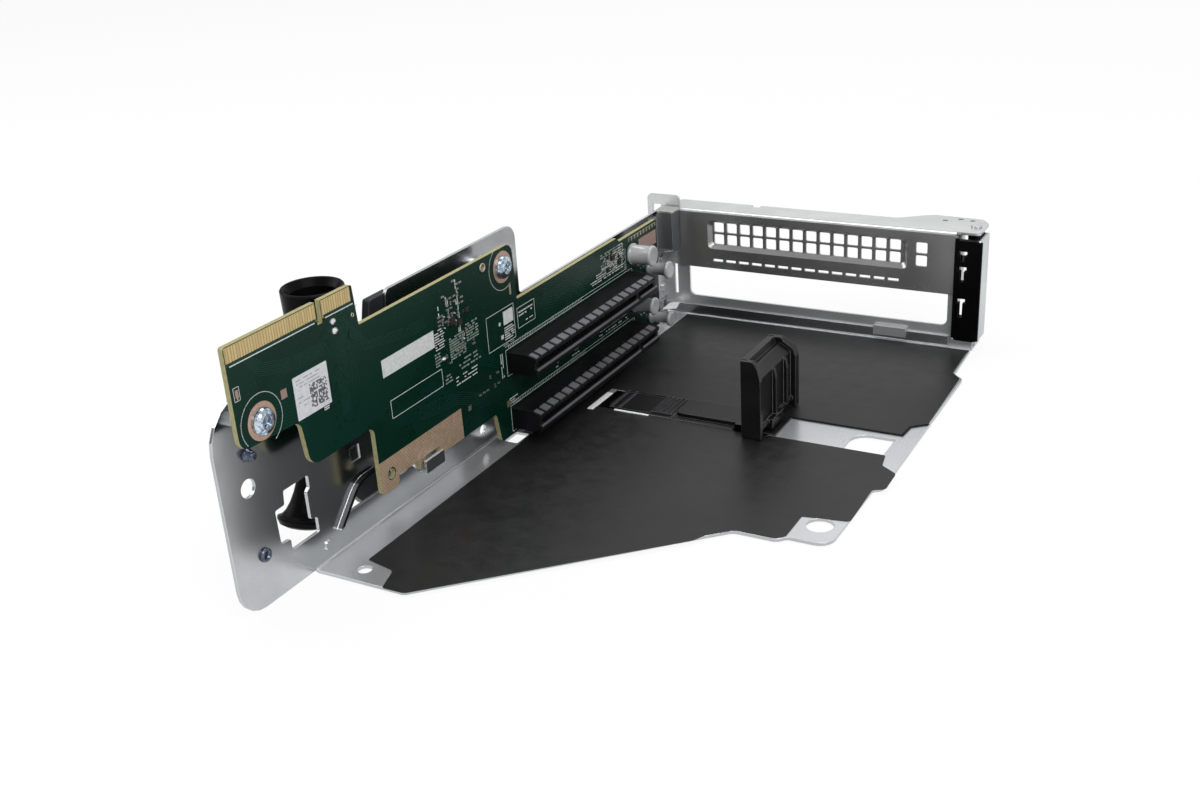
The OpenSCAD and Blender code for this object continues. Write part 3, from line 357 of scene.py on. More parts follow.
WALL_X = -8.8
# Painted shade: the tray under the holder is near black, which hides the glint of its guides, and the rim
# round the foot's opening is darkened over a lamp's bright reflection.
SHADE_UNDER_HOLDER = ((64.5, 33, 0.9), (77.5, 57, 8), (0.01, 0.01, 0.011))
SHADE_ON_OPENING_RIM = ((WALL_X + 0.15, -91, 9), (WALL_X + 1.8, -56, 25), (0.05, 0.05, 0.052))
# The cage's dust colours also paint its upward faces lighter, as painted light.
dress("cage_sheet", zinc_sheet("cage_zinc", (0.44, 0.455, 0.465), (0.55, 0.565, 0.575), 0.21, metallic=1.0,
                               dust=((0.60, 0.61, 0.63), (0.76, 0.77, 0.79)),
                               painted=(SHADE_UNDER_HOLDER, SHADE_ON_OPENING_RIM)))
# The darker edge colours of the rear wall and the filler are painted shade on their folds.
dress("rear_wall", zinc_sheet("rear_zinc", (0.52, 0.53, 0.53), (0.64, 0.65, 0.65), 0.22, ALONG_X,
                              (0.28, 0.29, 0.32), 0.70))
dress("latch_cover", zinc_sheet("cover_zinc", (0.38, 0.41, 0.42), (0.48, 0.51, 0.52), 0.22, ALONG_Z))
# The filler's zinc is darker than the cage's: painted shade for the dark surroundings it reflects.
dress("filler_bracket", zinc_sheet("filler_plate", (0.36, 0.355, 0.36), (0.50, 0.495, 0.50), 0.26, ALONG_X,
                                   (0.20, 0.21, 0.24), 0.86))
dress("tongue_guide", zinc_sheet("guide_plate", (0.20, 0.205, 0.215), (0.30, 0.305, 0.315), 0.30, ALONG_Z,
                                 (0.45, 0.45, 0.46)))
dress("guide_cap", zinc_sheet("cap_plate", (0.45, 0.45, 0.43), (0.60, 0.60, 0.58), 0.30))
rivet_finish = zinc_sheet("rivet_steel", (0.46, 0.48, 0.50), (0.68, 0.70, 0.72), 0.28)
for name in ("corner_rivets", "lift_rivets", "clinch_nuts", "latch_pin", "board_standoffs"):
    dress(name, rivet_finish)
print("steel finishes made")

# %% [markdown]
# ## Gold and bare copper
#
# Edge contacts carry a hard gold plating with fine scratches along their length, where the board
# slides into its socket; the springs inside the slots stay dark. The grounding strip is a copper
# plane whose mask was left off in a fine slanted hatch, so a wave texture turned by 45 degrees
# alternates bare copper with mask.

# %% Contact metals
def contact_metal(name, dark, light, roughness, stretch=(1, 1, 1)):
    return speckled(name, dark, light, (roughness + 0.08, roughness - 0.04), (3000, 2),
                    (0.10, 0.00001, 0.00004), stretch, metallic=1.0)


SCRATCHED = (1, 1, 0.05)
gold = contact_metal("hard_gold", (0.58, 0.44, 0.20), (0.78, 0.62, 0.34), 0.34, SCRATCHED)
spring_metal = contact_metal("spring_contacts", (0.05, 0.045, 0.035), (0.10, 0.09, 0.07), 0.45, SCRATCHED)
for name, metal in (("edge_contacts_front", gold), ("edge_contacts_back", gold),
                    ("slot_1_contacts", spring_metal), ("slot_2_contacts", spring_metal)):
    dress(name, metal)
dress("screw_rings", contact_metal("bare_copper", (0.50, 0.33, 0.25), (0.66, 0.47, 0.37), 0.42))

# %% Hatched copper
hatch_material, tree = new_finish("hatched_copper")
HATCH_PITCH = 0.66 * MM
wave = add_node(tree, "ShaderNodeTexWave",
                {"Vector": object_point(tree, (1, 1, 1), (math.radians(45), 0, 0)),
                 "Scale": 0.314 / HATCH_PITCH, "Distortion": 0.3, "Detail": 1.0, "Detail Scale": 4.0},
                bands_direction="Y").outputs["Fac"]
bare = spread(tree, wave, 0, 1, 0.40, 0.62)
patina = noise(tree, 500, 3)
copper_tone = two_tone(tree, spread(tree, patina, 0, 1), (0.66, 0.42, 0.31), (0.88, 0.62, 0.48))
wire(hatch_material, two_tone(tree, bare, (0.14, 0.125, 0.06), copper_tone),
     spread(tree, bare, 0.40, 0.46, 0, 1), grain(tree, bare, 0.3, 0.00003, 0.00005), times(tree, bare, 0.55))
dress("ground_strip", hatch_material)
print("contact metals made")

# %% [markdown]
# ## The solder mask
#
# A riser board is layers of glass-fibre laminate under a glossy green mask. Copper planes under
# the mask look a little lighter than bare laminate, bundles of tracks show as thin parallel
# lines, tented vias leave dark freckles, and the cut edge of the laminate is straw-coloured. The
# faces that don't look along X are that edge, which the object's own normals tell.

# %% Board material
board_material, tree = new_finish("solder_mask", ior=1.5, specular=0.12)
FLAT = (0, 1, 1)
plane_mask = spread(tree, noise(tree, 26, 1, stretch=FLAT), 0, 1, 0.49, 0.51)
tracks = add_node(tree, "ShaderNodeTexWave",
                  {"Vector": object_point(tree, FLAT, (math.radians(12), 0, 0)), "Scale": 330,
                   "Distortion": 5.0, "Detail": 1.0, "Detail Scale": 0.04},
                  bands_direction="Z").outputs["Fac"]
bundles = spread(tree, noise(tree, 30, 2, stretch=(0, 1, 0.5)), 0, 1, 0.56, 0.62)
track_mask = times(tree, spread(tree, tracks, 0, 1, 0.55, 0.8), bundles)
freckles = add_node(tree, "ShaderNodeTexVoronoi",
                    {"Vector": object_point(tree, FLAT), "Scale": 420}).outputs["Distance"]
freckle_mask = times(tree, spread(tree, freckles, 1, 0, 0.18, 0.30),
                     spread(tree, noise(tree, 40, 1, stretch=FLAT), 0, 1, 0.54, 0.58))
mask_tone = two_tone(tree, plane_mask, (0.0010, 0.0180, 0.0108), (0.0018, 0.0215, 0.0135))
mask_tone = two_tone(tree, times(tree, track_mask, 0.45), mask_tone, (0.005, 0.038, 0.026))
mask_tone = two_tone(tree, times(tree, freckle_mask, 0.6), mask_tone, (0.0005, 0.008, 0.005))
fibre = noise(tree, 4000, stretch=(1, 0.2, 0.2))
laminate = two_tone(tree, spread(tree, fibre, 0, 1), (0.25, 0.23, 0.115), (0.42, 0.385, 0.215))
normal_x = axis_of(tree, add_node(tree, "ShaderNodeTexCoord").outputs["Normal"], "X")
is_face = spread(tree, math_node(tree, "ABSOLUTE", normal_x), 0, 1, 0.5, 0.6)
relief = math_node(tree, "SUBTRACT", track_mask, freckle_mask)
wire(board_material, two_tone(tree, is_face, laminate, mask_tone), spread(tree, is_face, 0.75, 0.26, 0, 1),
     grain(tree, relief, 0.14, 0.00002, 0.0001))
dress("riser_board", board_material)
print("board faces: mask, edges: laminate")

# %% [markdown]
# ## Moulded and formed plastics
#
# Black parts are never one black. Their skin has a fine spark-eroded grain, slight gloss on the
# flats, and dust and wear that lift the tone a little. Their edges are lighter again, partly from
# wear and partly as a painted highlight.

# %% Plastics
def moulded(name, dark, light, roughness, grain_scale=2600, edge=None, edge_width=0.3, specular=0.25):
    material, tree = new_finish(name, ior=1.48, specular=specular)
    skin = noise(tree, grain_scale, 2)
    haze = noise(tree, 55, 4)
    body = two_tone(tree, spread(tree, haze, 0, 1), dark, light)
    # A lighter edge colour is wear together with a painted highlight along the edges.
    if edge:
        body = two_tone(tree, edge_wear_and_painted_light(tree, edge_width * MM), body, edge)
    return wire(material, body, spread(tree, haze, roughness - 0.06, roughness + 0.08),
                grain(tree, skin, 0.25, 0.00003, edge_width * MM))


slot_plastic = moulded("slot_plastic", (0.0035, 0.0035, 0.004), (0.0075, 0.0075, 0.0085), 0.36,
                       edge=(0.035, 0.035, 0.038), specular=0.12)
for name in ("slot_1_housing", "slot_2_housing"):
    dress(name, slot_plastic)
# The holder's light edges are mostly a painted highlight on its rims.
holder_plastic = moulded("holder_plastic", (0.005, 0.005, 0.0055), (0.010, 0.010, 0.011), 0.30,
                         edge=(0.13, 0.13, 0.135), specular=0.26)
latch_plastic = moulded("latch_plastic", (0.0010, 0.0009, 0.0012), (0.0024, 0.0022, 0.0026), 0.34,
                        edge=(0.02, 0.02, 0.022), specular=0.06)
dress("latch", latch_plastic)
dress("lift_cup", moulded("grip_plastic", (0.002, 0.002, 0.0022), (0.005, 0.0048, 0.0052), 0.34,
                          edge=(0.02, 0.02, 0.021), edge_width=0.5, specular=0.05))
dress("lift_plate", moulded("blade_plastic", (0.016, 0.017, 0.020), (0.030, 0.031, 0.036), 0.32,
                            edge=(0.07, 0.07, 0.075), edge_width=0.5))
post_plastic = moulded("post_plastic", (0.30, 0.305, 0.31), (0.42, 0.425, 0.43), 0.16,
                       edge=(0.62, 0.62, 0.62), specular=0.9)
chip_epoxy = moulded("chip_epoxy", (0.010, 0.008, 0.008), (0.024, 0.019, 0.018), 0.5, 5000)
ceramic = moulded("ceramic", (0.11, 0.095, 0.08), (0.21, 0.185, 0.165), 0.45, 5000)
print("plastic finishes made")

# %% [markdown]
# ## Growing the small repeated pieces
#
# A board carries hundreds of small things that repeat: printed strokes, soldered parts, plated
# holes and solder tails. Each kind is one small Geometry Nodes tree that puts a copy of its
# shape on every point of a list. The points carry three numbers, how far the copy is turned and
# how much it is stretched along and across, and the tree has named inputs for its sizes.

# %% Geometry Nodes helpers
LENGTHS = ("Length", "Width", "Height", "Radius", "Rim", "Cap")


def open_tree(name, *size_names):
    tree = bpy.data.node_groups.new(name, "GeometryNodeTree")
    tree.interface.new_socket("Geometry", in_out="INPUT", socket_type="NodeSocketGeometry")
    for size_name in (*size_names, "Unevenness", "Seed"):
        kind = "NodeSocketInt" if size_name in ("Sides", "Seed") else "NodeSocketFloat"
        tree.interface.new_socket(size_name, in_out="INPUT", socket_type=kind)
    tree.interface.new_socket("Geometry", in_out="OUTPUT", socket_type="NodeSocketGeometry")
    return tree, tree.nodes.new("NodeGroupInput").outputs


def stand_on_points(tree, sizes, shape, material):
    turn, along, across = [add_node(tree, "GeometryNodeInputNamedAttribute", {"Name": label},
                                    data_type="FLOAT").outputs[0] for label in ("turn", "along", "across")]
    uneven = add_node(tree, "FunctionNodeRandomValue",
                      {2: 1.0, 3: sizes["Unevenness"], 8: sizes["Seed"]}, data_type="FLOAT").outputs[1]
    scale = vector_of(tree, uneven, times(tree, uneven, along), times(tree, uneven, across))
    copies = add_node(tree, "GeometryNodeInstanceOnPoints",
                      {"Points": sizes["Geometry"], "Instance": shape, "Rotation": vector_of(tree, turn),
                       "Scale": scale}).outputs[0]
    real = add_node(tree, "GeometryNodeRealizeInstances", {0: copies}).outputs[0]
    made = add_node(tree, "GeometryNodeSetMaterial", {"Geometry": real, "Material": material}).outputs[0]
    add_node(tree, "NodeGroupOutput", {0: made})
    return tree


def settled_mesh(source):
    ready = source.evaluated_get(bpy.context.evaluated_depsgraph_get())
    mesh = bpy.data.meshes.new_from_object(ready)
    source.modifiers.clear()
    return mesh


def grow(name, tree, slot_name, marks, **sizes):
    points = bpy.data.meshes.new(name + "_points")
    points.from_pydata([[c * MM for c in mark[0]] for mark in marks], [], [])
    for number, label in enumerate(("turn", "along", "across"), start=1):
        attribute = points.attributes.new(label, "FLOAT", "POINT")
        attribute.data.foreach_set("value", [mark[number] for mark in marks])
    seedling = add_object(name + "_points", points)
    modifier = seedling.modifiers.new("grow", "NODES")
    modifier.node_group = tree
    sizes = {"Length": 1, "Width": 1, "Unevenness": 1.0, "Seed": 1, **sizes}
    for item in tree.interface.items_tree:
        if item.in_out == "INPUT" and item.name in sizes:
            modifier[item.identifier] = sizes[item.name] * (MM if item.name in LENGTHS else 1)
    piece = add_object(name, settled_mesh(seedling))
    bpy.data.objects.remove(seedling)
    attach(piece, "cage")
    print(name, "has", len(marks), "copies and", len(piece.data.polygons), "faces")
    return piece


def offset(tree, geometry, x=0.0, y=0.0, turn=(0, 0, 0)):
    place = vector_of(tree, x, y)
    return add_node(tree, "GeometryNodeTransform",
                    {"Geometry": geometry, "Translation": place, "Rotation": turn}).outputs[0]


def box_shape(tree, x, y, z):
    return add_node(tree, "GeometryNodeMeshCube", {"Size": vector_of(tree, x, y, z)}).outputs["Mesh"]


# %% [markdown]
# ## A bar on the board
#
# The simplest shape is a flat bar. One millimetre square, it becomes a printed stroke, a track
# or a pad when its point stretches it; with real sizes it is the ceramic body of a small part.

# %% Bars
def bar_tree(name, material):
    tree, sizes = open_tree(name, "Length", "Width", "Height")
    bar = box_shape(tree, sizes["Height"], sizes["Length"], sizes["Width"])
    return stand_on_points(tree, sizes, offset(tree, bar, x=times(tree, sizes["Height"], 0.5)), material)


def spot(y, z, along=1.0, across=1.0, x=0.0):
    return ((x, y, z), 0.0, along, across)


def patch(y0, z0, y1, z1):
    return spot((y0 + y1) / 2, (z0 + z1) / 2, y1 - y0, z1 - z0)


def stroke(y0, z0, y1, z1, width):
    return ((0, (y0 + y1) / 2, (z0 + z1) / 2), math.atan2(z1 - z0, y1 - y0),
            math.hypot(y1 - y0, z1 - z0) + width * 0.9, width)


def frame_strokes(y0, z0, y1, z1, width=0.2):
    corners = [(y0, z0), (y1, z0), (y1, z1), (y0, z1)]
    return [stroke(*corners[i], *corners[(i + 1) % 4], width) for i in range(4)]


def circle_strokes(y, z, radius, width=0.25, start=0, end=360, count=48):
    angles = [math.radians(start + (end - start) * i / count) for i in range(count + 1)]
    spots = [(y + radius * math.cos(a), z + radius * math.sin(a)) for a in angles]
    return [stroke(*spots[i], *spots[i + 1], width) for i in range(count)]


# %% [markdown]
# ## Printed marks
#
# The white print is ink screened over the mask: outlines of the parts, boxes for stickers and
# rows of short strokes beside the small parts. Here it says nothing. Its outlines follow the
# pieces that they stand round, and the rows are plain strokes of random length.

# %% Print on the board
def ink_finish(name, dark, light):
    return speckled(name, dark, light, (0.45, 0.6), (900, 3), (0.2, 0.00001, 0.00002), span=(0.30, 0.62))


ink = ink_finish("printed_ink", (0.47, 0.49, 0.48), (0.60, 0.62, 0.60))
faded_ink = ink_finish("faded_ink", (0.13, 0.17, 0.15), (0.27, 0.32, 0.29))
screw_low, screw_high = box_mm("board_screws")
slots = [box_mm("slot_1_housing"), box_mm("slot_2_housing")]
board_low, board_high = box_mm("riser_board")
finger_low, finger_high = box_mm("edge_contacts_front")
SCREW_R = 3.5
screw_spots = [(screw_low[1] + SCREW_R, screw_low[2] + SCREW_R),
               (screw_high[1] - SCREW_R, screw_high[2] - SCREW_R)]
print("board screws at", [(round(y, 1), round(z, 1)) for y, z in screw_spots])

OUTLINE_GAP = 0.9
KEY_Y = -87.6
finger_foot = finger_low[2] - 0.2
prints = []
for y, z in screw_spots:
    prints += circle_strokes(y, z, 7.7, 0.18, *((35, 300) if y > -50 else (-60, 215)))
for low, high in slots:
    left_y = low[1] - OUTLINE_GAP
    prints += frame_strokes(left_y, low[2] - OUTLINE_GAP, high[1] + OUTLINE_GAP, high[2] + OUTLINE_GAP)
    prints.append(stroke(left_y, high[2] + 2.1, high[1] - 4, high[2] + 2.1, 0.16))
for middle, long in (((board_low[1] + KEY_Y - 1.0) / 2, KEY_Y - board_low[1] - 3.4),
                     ((KEY_Y - 71.3) / 2, 12.0)):
    prints.append(spot(middle, finger_foot, long, 0.3, finger_high[0]))
for outline in ((-62.8, 36.9, -36.6, 42.6), (-10.4, 37.7, 6.0, 49.7), (8.0, 39.8, 18.9, 46.9),
                (-122.7, 67.2, -120.7, 70.9, 0.15)):
    prints += frame_strokes(*outline)
prints += [patch(-64.7, 50.6, -38.7, 56.1), patch(-0.5, 43.9, 5.4, 48.6), patch(-2.6, 39.6, -1.2, 41.0),
           patch(-3.4, 44.6, -2.4, 45.8)]
print(len(prints), "outline strokes")

# %% Rows of strokes
chance = random.Random(41)


def stroke_rows(y0, z0, y1, z1, pitch, width, fill, upright=False):
    rows = []
    span, rise = (z1 - z0, y1 - y0) if upright else (y1 - y0, z1 - z0)
    for row in range(max(1, int(rise / pitch))):
        at = 0.0
        while at < span:
            length = chance.uniform(0.35, 1.1)
            if chance.random() < fill and at + length < span:
                a, b = at, at + length
                level = (row + 0.5) * pitch
                if upright:
                    rows.append(stroke(y0 + level, z0 + a, y0 + level, z0 + b, width))
                else:
                    rows.append(stroke(y0 + a, z0 + level, y0 + b, z0 + level, width))
            at += length + 0.22
    return rows


faint = []
for low, high in slots:
    for step in range(46):
        tick_y = low[1] + 1.0 + 1.1 * step
        faint.append(stroke(tick_y, high[2] + 1.2, tick_y, high[2] + 1.2 + chance.uniform(0.4, 0.8), 0.5))
for marks, *row in (
        (prints, -0.2, 38.4, 5.5, 43.4, 0.8, 0.42, 0.9), (prints, 9.0, 43.4, 18.0, 46.2, 1.2, 0.5, 0.7),
        (prints, 10.5, 40.8, 17.5, 42.6, 1.0, 0.35, 0.5),
        (faint, -27.0, 38.0, -15.2, 42.6, 1.35, 0.55, 0.72),
        (prints, -29.5, 33.6, -17.5, 37.4, 1.2, 0.4, 0.62),
        (faint, -35.0, 36.4, -31.0, 39.8, 1.1, 0.5, 0.7), (faint, -39.0, 43.6, -36.2, 48.6, 0.95, 0.5, 0.8),
        (prints, -38.2, 48.8, -33.2, 56.0, 0.85, 0.36, 0.75),
        (prints, -31.2, 60.2, -29.2, 64.0, 0.8, 0.5, 0.85, True),
        (prints, -25.9, 51.0, -23.9, 64.6, 0.8, 0.45, 0.75, True),
        (prints, -25.4, 65.0, -24.0, 68.4, 0.7, 0.5, 0.9, True),
        (prints, -35.4, 59.2, -34.0, 62.8, 0.7, 0.45, 0.85, True),
        (faint, -21.6, 46.0, -15.0, 52.6, 0.9, 0.5, 0.7),
        (faint, -31.0, 43.0, -22.5, 51.0, 0.85, 0.5, 0.78),
        (faint, 66.5, 40.6, 83.6, 47.6, 1.0, 0.55, 0.72), (faint, -1.6, 36.6, 4.8, 37.6, 0.9, 0.4, 0.7),
        (faint, 84.0, 36.5, 86.0, 45.0, 0.9, 0.5, 0.8, True),
        (prints, -4.6, 26.6, -2.4, 35.0, 1.0, 0.45, 0.7, True),
        (prints, -2.2, 15.4, 4.6, 18.6, 0.85, 0.4, 0.7), (prints, -90.8, 51.4, -88.0, 52.6, 0.6, 0.35, 0.8)):
    marks += stroke_rows(*row)
for y, length in ((30.0, 3), (41.5, 5), (62.0, 22)):
    prints += stroke_rows(y, 16.4, y + length, 19.6, 1.5, 0.5, 0.6)
for step in range(6):
    prints += stroke_rows(58 + 4.4 * step, 37.6, 62.4 + 4.4 * step, 39.6 + 1.7 * step, 0.9, 0.42, 0.72)

grow("printed_marks", bar_tree("bars_of_ink", ink), "label_white", prints, Height=0.03)
grow("faint_marks", bar_tree("bars_of_faded_ink", faded_ink), "label_white", faint, Height=0.025)

# %% [markdown]
# ## Bare laminate, tracks and pads
#
# Under the gold contacts the laminate is bare and straw-coloured, and a band of mask with a white
# line runs along their feet. From there, copper tracks fan out towards the slots; under the mask
# they are only a slightly lighter green. Where parts are soldered, the mask is open over a pad.

# %% Connector bed
bed_laminate, tree = new_finish("bare_laminate")
weave = add_node(tree, "ShaderNodeTexWave", {"Vector": object_point(tree), "Scale": 900, "Distortion": 2.0},
                 bands_direction="Z").outputs["Fac"]
straw = two_tone(tree, spread(tree, weave, 0, 1, 0.2, 0.8), (0.30, 0.23, 0.10), (0.42, 0.33, 0.15))
wire(bed_laminate, straw, spread(tree, weave, 0.42, 0.55), grain(tree, weave, 0.3, 0.00002, 0.00005))
KEY_HALF = 1.25
bed_foot, bed_top = finger_low[2] - 0.1, board_high[2] - 0.2
grow("connector_bed", bar_tree("bars_of_laminate", bed_laminate), "contact_gold",
     [patch(board_low[1] + 0.25, bed_foot, KEY_Y - KEY_HALF, bed_top),
      patch(KEY_Y + KEY_HALF, bed_foot, finger_high[1] + 0.35, bed_top)], Height=0.03)

# %% Tracks under the mask
track_green = speckled("track_green", (0.002, 0.027, 0.017), (0.004, 0.034, 0.022), (0.24, 0.34), (120, 2),
                       (0.1, 0.00001, 0.00003), ior=1.5, specular=0.2)
BAND_KEY_HALF = 1.6
band_foot, band_top = finger_foot + 0.15, finger_foot + 1.0
band = [patch(board_low[1] + 0.1, band_foot, KEY_Y - BAND_KEY_HALF, band_top),
        patch(KEY_Y + BAND_KEY_HALF, band_foot, finger_high[1] + 0.6, band_top)]
far_gaps = [patch(89.0 + 2.5 * step, 45.9, 90.4 + 2.5 * step, 47.3) for step in range(9)]
grow("mask_band", bar_tree("bars_of_mask", track_green), "board_green", band + far_gaps,
     Height=finger_high[0] * 1.1)
print("contacts stand", round(finger_high[0], 3), "mm proud of the board")

copper_runs = []
for count, pitch, bends in (
        (9, 0.75, ((-78, 76.5, 1, 0), (-78.6, 70, 1, 0), (-82.0, 60, 0.7, 0.3), (-82.0, 47, 0.5, 0))),
        (6, 0.7, ((-76, 70, 0.6, 0.4), (-70, 63, 0.6, 0.6), (-50, 60, 0, 0.9), (-42, 60, 0, 0.9))),
        (7, 0.6, ((-116, 76.5, 1, 0), (-112, 72, 0.5, 0.8), (-100, 69, 0, 1), (-88, 69, 0, 1))),
        (8, 0.55, ((-30, 47, 0, 1), (-20, 44, 0, 1), (-14, 37, 0.6, 0.8), (-6, 33, 0, 1))),
        (6, 0.8, ((20, 44, 0, 1), (44, 44, 0, 1), (52, 38, 0.6, 0.8))),
        (7, 0.7, ((-50, 33, 0, 1), (-30, 30, 0, 1), (-12, 22, 0.3, 0.9)))):
    for number in range(count):
        shift = (number - (count - 1) / 2) * pitch
        way = [(y + shift * dy, z + shift * dz) for y, z, dy, dz in bends]
        copper_runs += [stroke(*start, *end, 0.16) for start, end in zip(way, way[1:])]
copper_runs += [stroke(-72 - 0.9 * i, 76, -86 + 1.6 * i, 57 - 0.7 * i, 0.14) for i in range(8)]
grow("tracks", bar_tree("bars_of_copper", track_green), "board_green", copper_runs, Height=0.02)

# %% Pads
pad_metal = contact_metal("pad_copper", (0.36, 0.25, 0.21), (0.52, 0.38, 0.33), 0.45)
grow("copper_pads", bar_tree("bars_of_bare_copper", pad_metal), "strip_copper",
     [patch(-106.5, 61.2, -104.2, 63.8), patch(-122.2, 68.0, -121.1, 70.2),
      patch(-121.9, 67.4, -121.3, 68.0), patch(96.5, 39.0, 111.2, 44.6)], Height=0.04)

tin = contact_metal("solder_tin", (0.55, 0.56, 0.57), (0.80, 0.81, 0.82), 0.30)
brass = contact_metal("shelf_gold", (0.36, 0.32, 0.22), (0.60, 0.56, 0.44), 0.42)
grow("tin_pads", bar_tree("bars_of_tin", brass), "contact_gold",
     [patch(-25.0, 23.2, -23.3, 24.9), patch(-2.9, 15.2, -0.6, 17.4), patch(4.5, 53.0, 5.5, 56.4),
      patch(88.5, 45.9, 111.2, 47.5)], Height=0.05)

# %% [markdown]
# ## Plated holes and solder
#
# A via is a drilled hole with a plated rim. A curve circle swept by a small square profile makes
# the rim, with few faces because there are hundreds of them. Drops of solder are low domes.

# %% Rings and drops
def ring_tree(name, material):
    tree, sizes = open_tree(name, "Radius", "Rim", "Sides")
    circle = add_node(tree, "GeometryNodeCurvePrimitiveCircle",
                      {"Resolution": sizes["Sides"], "Radius": sizes["Radius"]}).outputs[0]
    profile = add_node(tree, "GeometryNodeCurvePrimitiveQuadrilateral",
                       {"Width": sizes["Rim"], "Height": sizes["Rim"]}).outputs[0]
    rim = add_node(tree, "GeometryNodeCurveToMesh", {"Curve": circle, "Profile Curve": profile}).outputs[0]
    return stand_on_points(tree, sizes, offset(tree, rim, turn=(0, math.pi / 2, 0)), material)


def drop_tree(name, material):
    tree, sizes = open_tree(name, "Radius", "Sides")
    ball = add_node(tree, "GeometryNodeMeshUVSphere",
                    {"Segments": sizes["Sides"], "Rings": 6, "Radius": sizes["Radius"]}).outputs["Mesh"]
    return stand_on_points(tree, sizes, ball, material)


VIA_X = 0.02
via_spots = []
for row in range(11):
    for column in range(22):
        y, z = -118 + 2.0 * column + (row % 2), 57.5 + 1.7 * row
        on_label = -103.5 < y < -85.5 and 51 < z < 67
        near_screw = math.hypot(y - screw_spots[0][0], z - screw_spots[0][1]) < 8.6
        if z < 75.6 and y < -77 and not on_label and not near_screw and chance.random() < 0.5:
            via_spots.append(spot(y, z, x=VIA_X))
for y, z0, count in ((-34, 46, 5), (-27, 44, 8), (-19, 54, 5), (-12, 52, 4), (22, 46, 3)):
    via_spots += [spot(y + 1.1 * (i % 2), z0 + 1.6 * i, x=VIA_X) for i in range(count)]
via_spots += [spot(-70 + 4.6 * i, 66.8, x=VIA_X) for i in range(13)]
grow("via_rims", ring_tree("rims_of_vias", track_green), "board_green", via_spots,
     Radius=0.30, Rim=0.12, Sides=8, Unevenness=0.8, Seed=5)
grow("plated_rings", ring_tree("rims_of_brass", brass), "contact_gold",
     [spot(-9.7, 66.9, x=0.03), spot(-74.3, 73.7, 0.4, 0.4, 0.03)], Radius=1.25, Rim=0.5, Sides=24)
drops = [spot(*drop) for drop in (
    (-82.7, 74.8, 1.15, 1.0), (-82.4, 71.9, 1.2, 1.15), (-33.2, 58.6, 0.35, 0.35), (-30.4, 57.4, 0.3, 0.3),
    (-27.6, 57.9, 0.38, 0.38), (-33.4, 55.0, 0.3, 0.3), (-27.4, 55.4, 0.3, 0.3), (-24.2, 48.3, 0.35, 0.35),
    (-35.2, 45.4, 1.1, 0.8))]
grow("solder_drops", drop_tree("drops_of_solder", tin), "screw_steel", drops, Radius=0.95, Sides=16)

# %% [markdown]
# ## Small soldered parts
#
# Resistors and capacitors come in sizes of about 1.0 by 0.5 millimetres: a ceramic body with a
# tinned cap over each end. They stand in rows and clusters, so a list of clusters is filled on a
# grid, with some places left empty and each part turned one way or the other.

# %% Clusters of parts
def cap_tree(name, material):
    tree, sizes = open_tree(name, "Length", "Width", "Height", "Cap")
    cap = box_shape(tree, sizes["Height"], sizes["Cap"], sizes["Width"])
    lift = times(tree, sizes["Height"], 0.5)
    pair = add_node(tree, "GeometryNodeJoinGeometry")
    for reach in (0.5, -0.5):
        tree.links.new(offset(tree, cap, x=lift, y=times(tree, sizes["Length"], reach)), pair.inputs[0])
    return stand_on_points(tree, sizes, pair.outputs[0], material)


ROOM = 1.0
TAKEN = [box_mm(name) for name in ("board_label", "slot_1_housing", "slot_2_housing")]
TAKEN += [([0, y - 6, z - 6], [1, y + 6, z + 6]) for y, z in screw_spots]


def free_spot(y, z):
    return not any(low[1] - ROOM < y < high[1] + ROOM and low[2] - ROOM < z < high[2] + ROOM
                   for low, high in TAKEN)


part_spots = []
for y0, z0, y1, z1, pitch_y, pitch_z, share in (
        (-35.5, 56.5, -24.5, 59.5, 1.7, 1.3, 0.7), (-27.5, 44.5, -17, 50.5, 1.8, 1.5, 0.2),
        (-33.5, 42.8, -28, 46.5, 1.8, 1.4, 0.25), (-26.6, 60, -22.6, 69, 1.9, 1.6, 0.6),
        (-32.6, 60, -28.6, 65, 1.9, 1.6, 0.5), (66, 39.5, 84.5, 46.5, 2.1, 1.7, 0.55),
        (92, 31, 108, 38.5, 2.3, 1.9, 0.4), (95, 12, 108, 24, 2.4, 2.1, 0.35),
        (-18, 26, -6, 31, 2.2, 1.9, 0.3), (-96, 45.5, -86, 49, 2.4, 1.9, 0.0)):
    for row in range(int((z1 - z0) / pitch_z) + 1):
        for column in range(int((y1 - y0) / pitch_y) + 1):
            y, z = y0 + column * pitch_y, z0 + row * pitch_z
            if chance.random() < share and free_spot(y, z):
                part_spots.append(((0.0, y, z), math.pi / 2 if chance.random() < 0.35 else 0.0, 1.0, 1.0))
part_sizes = {"Length": 1.0, "Width": 0.55, "Height": 0.4, "Unevenness": 0.85, "Seed": 12}
part_bodies = grow("part_bodies", bar_tree("bodies_of_parts", ceramic), "capacitor_tan", part_spots,
                   **part_sizes)
grow("part_caps", cap_tree("caps_of_parts", tin), "screw_steel", part_spots,
     **{**part_sizes, "Cap": 0.26, "Width": 0.58, "Height": 0.43})
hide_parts("board_capacitors")

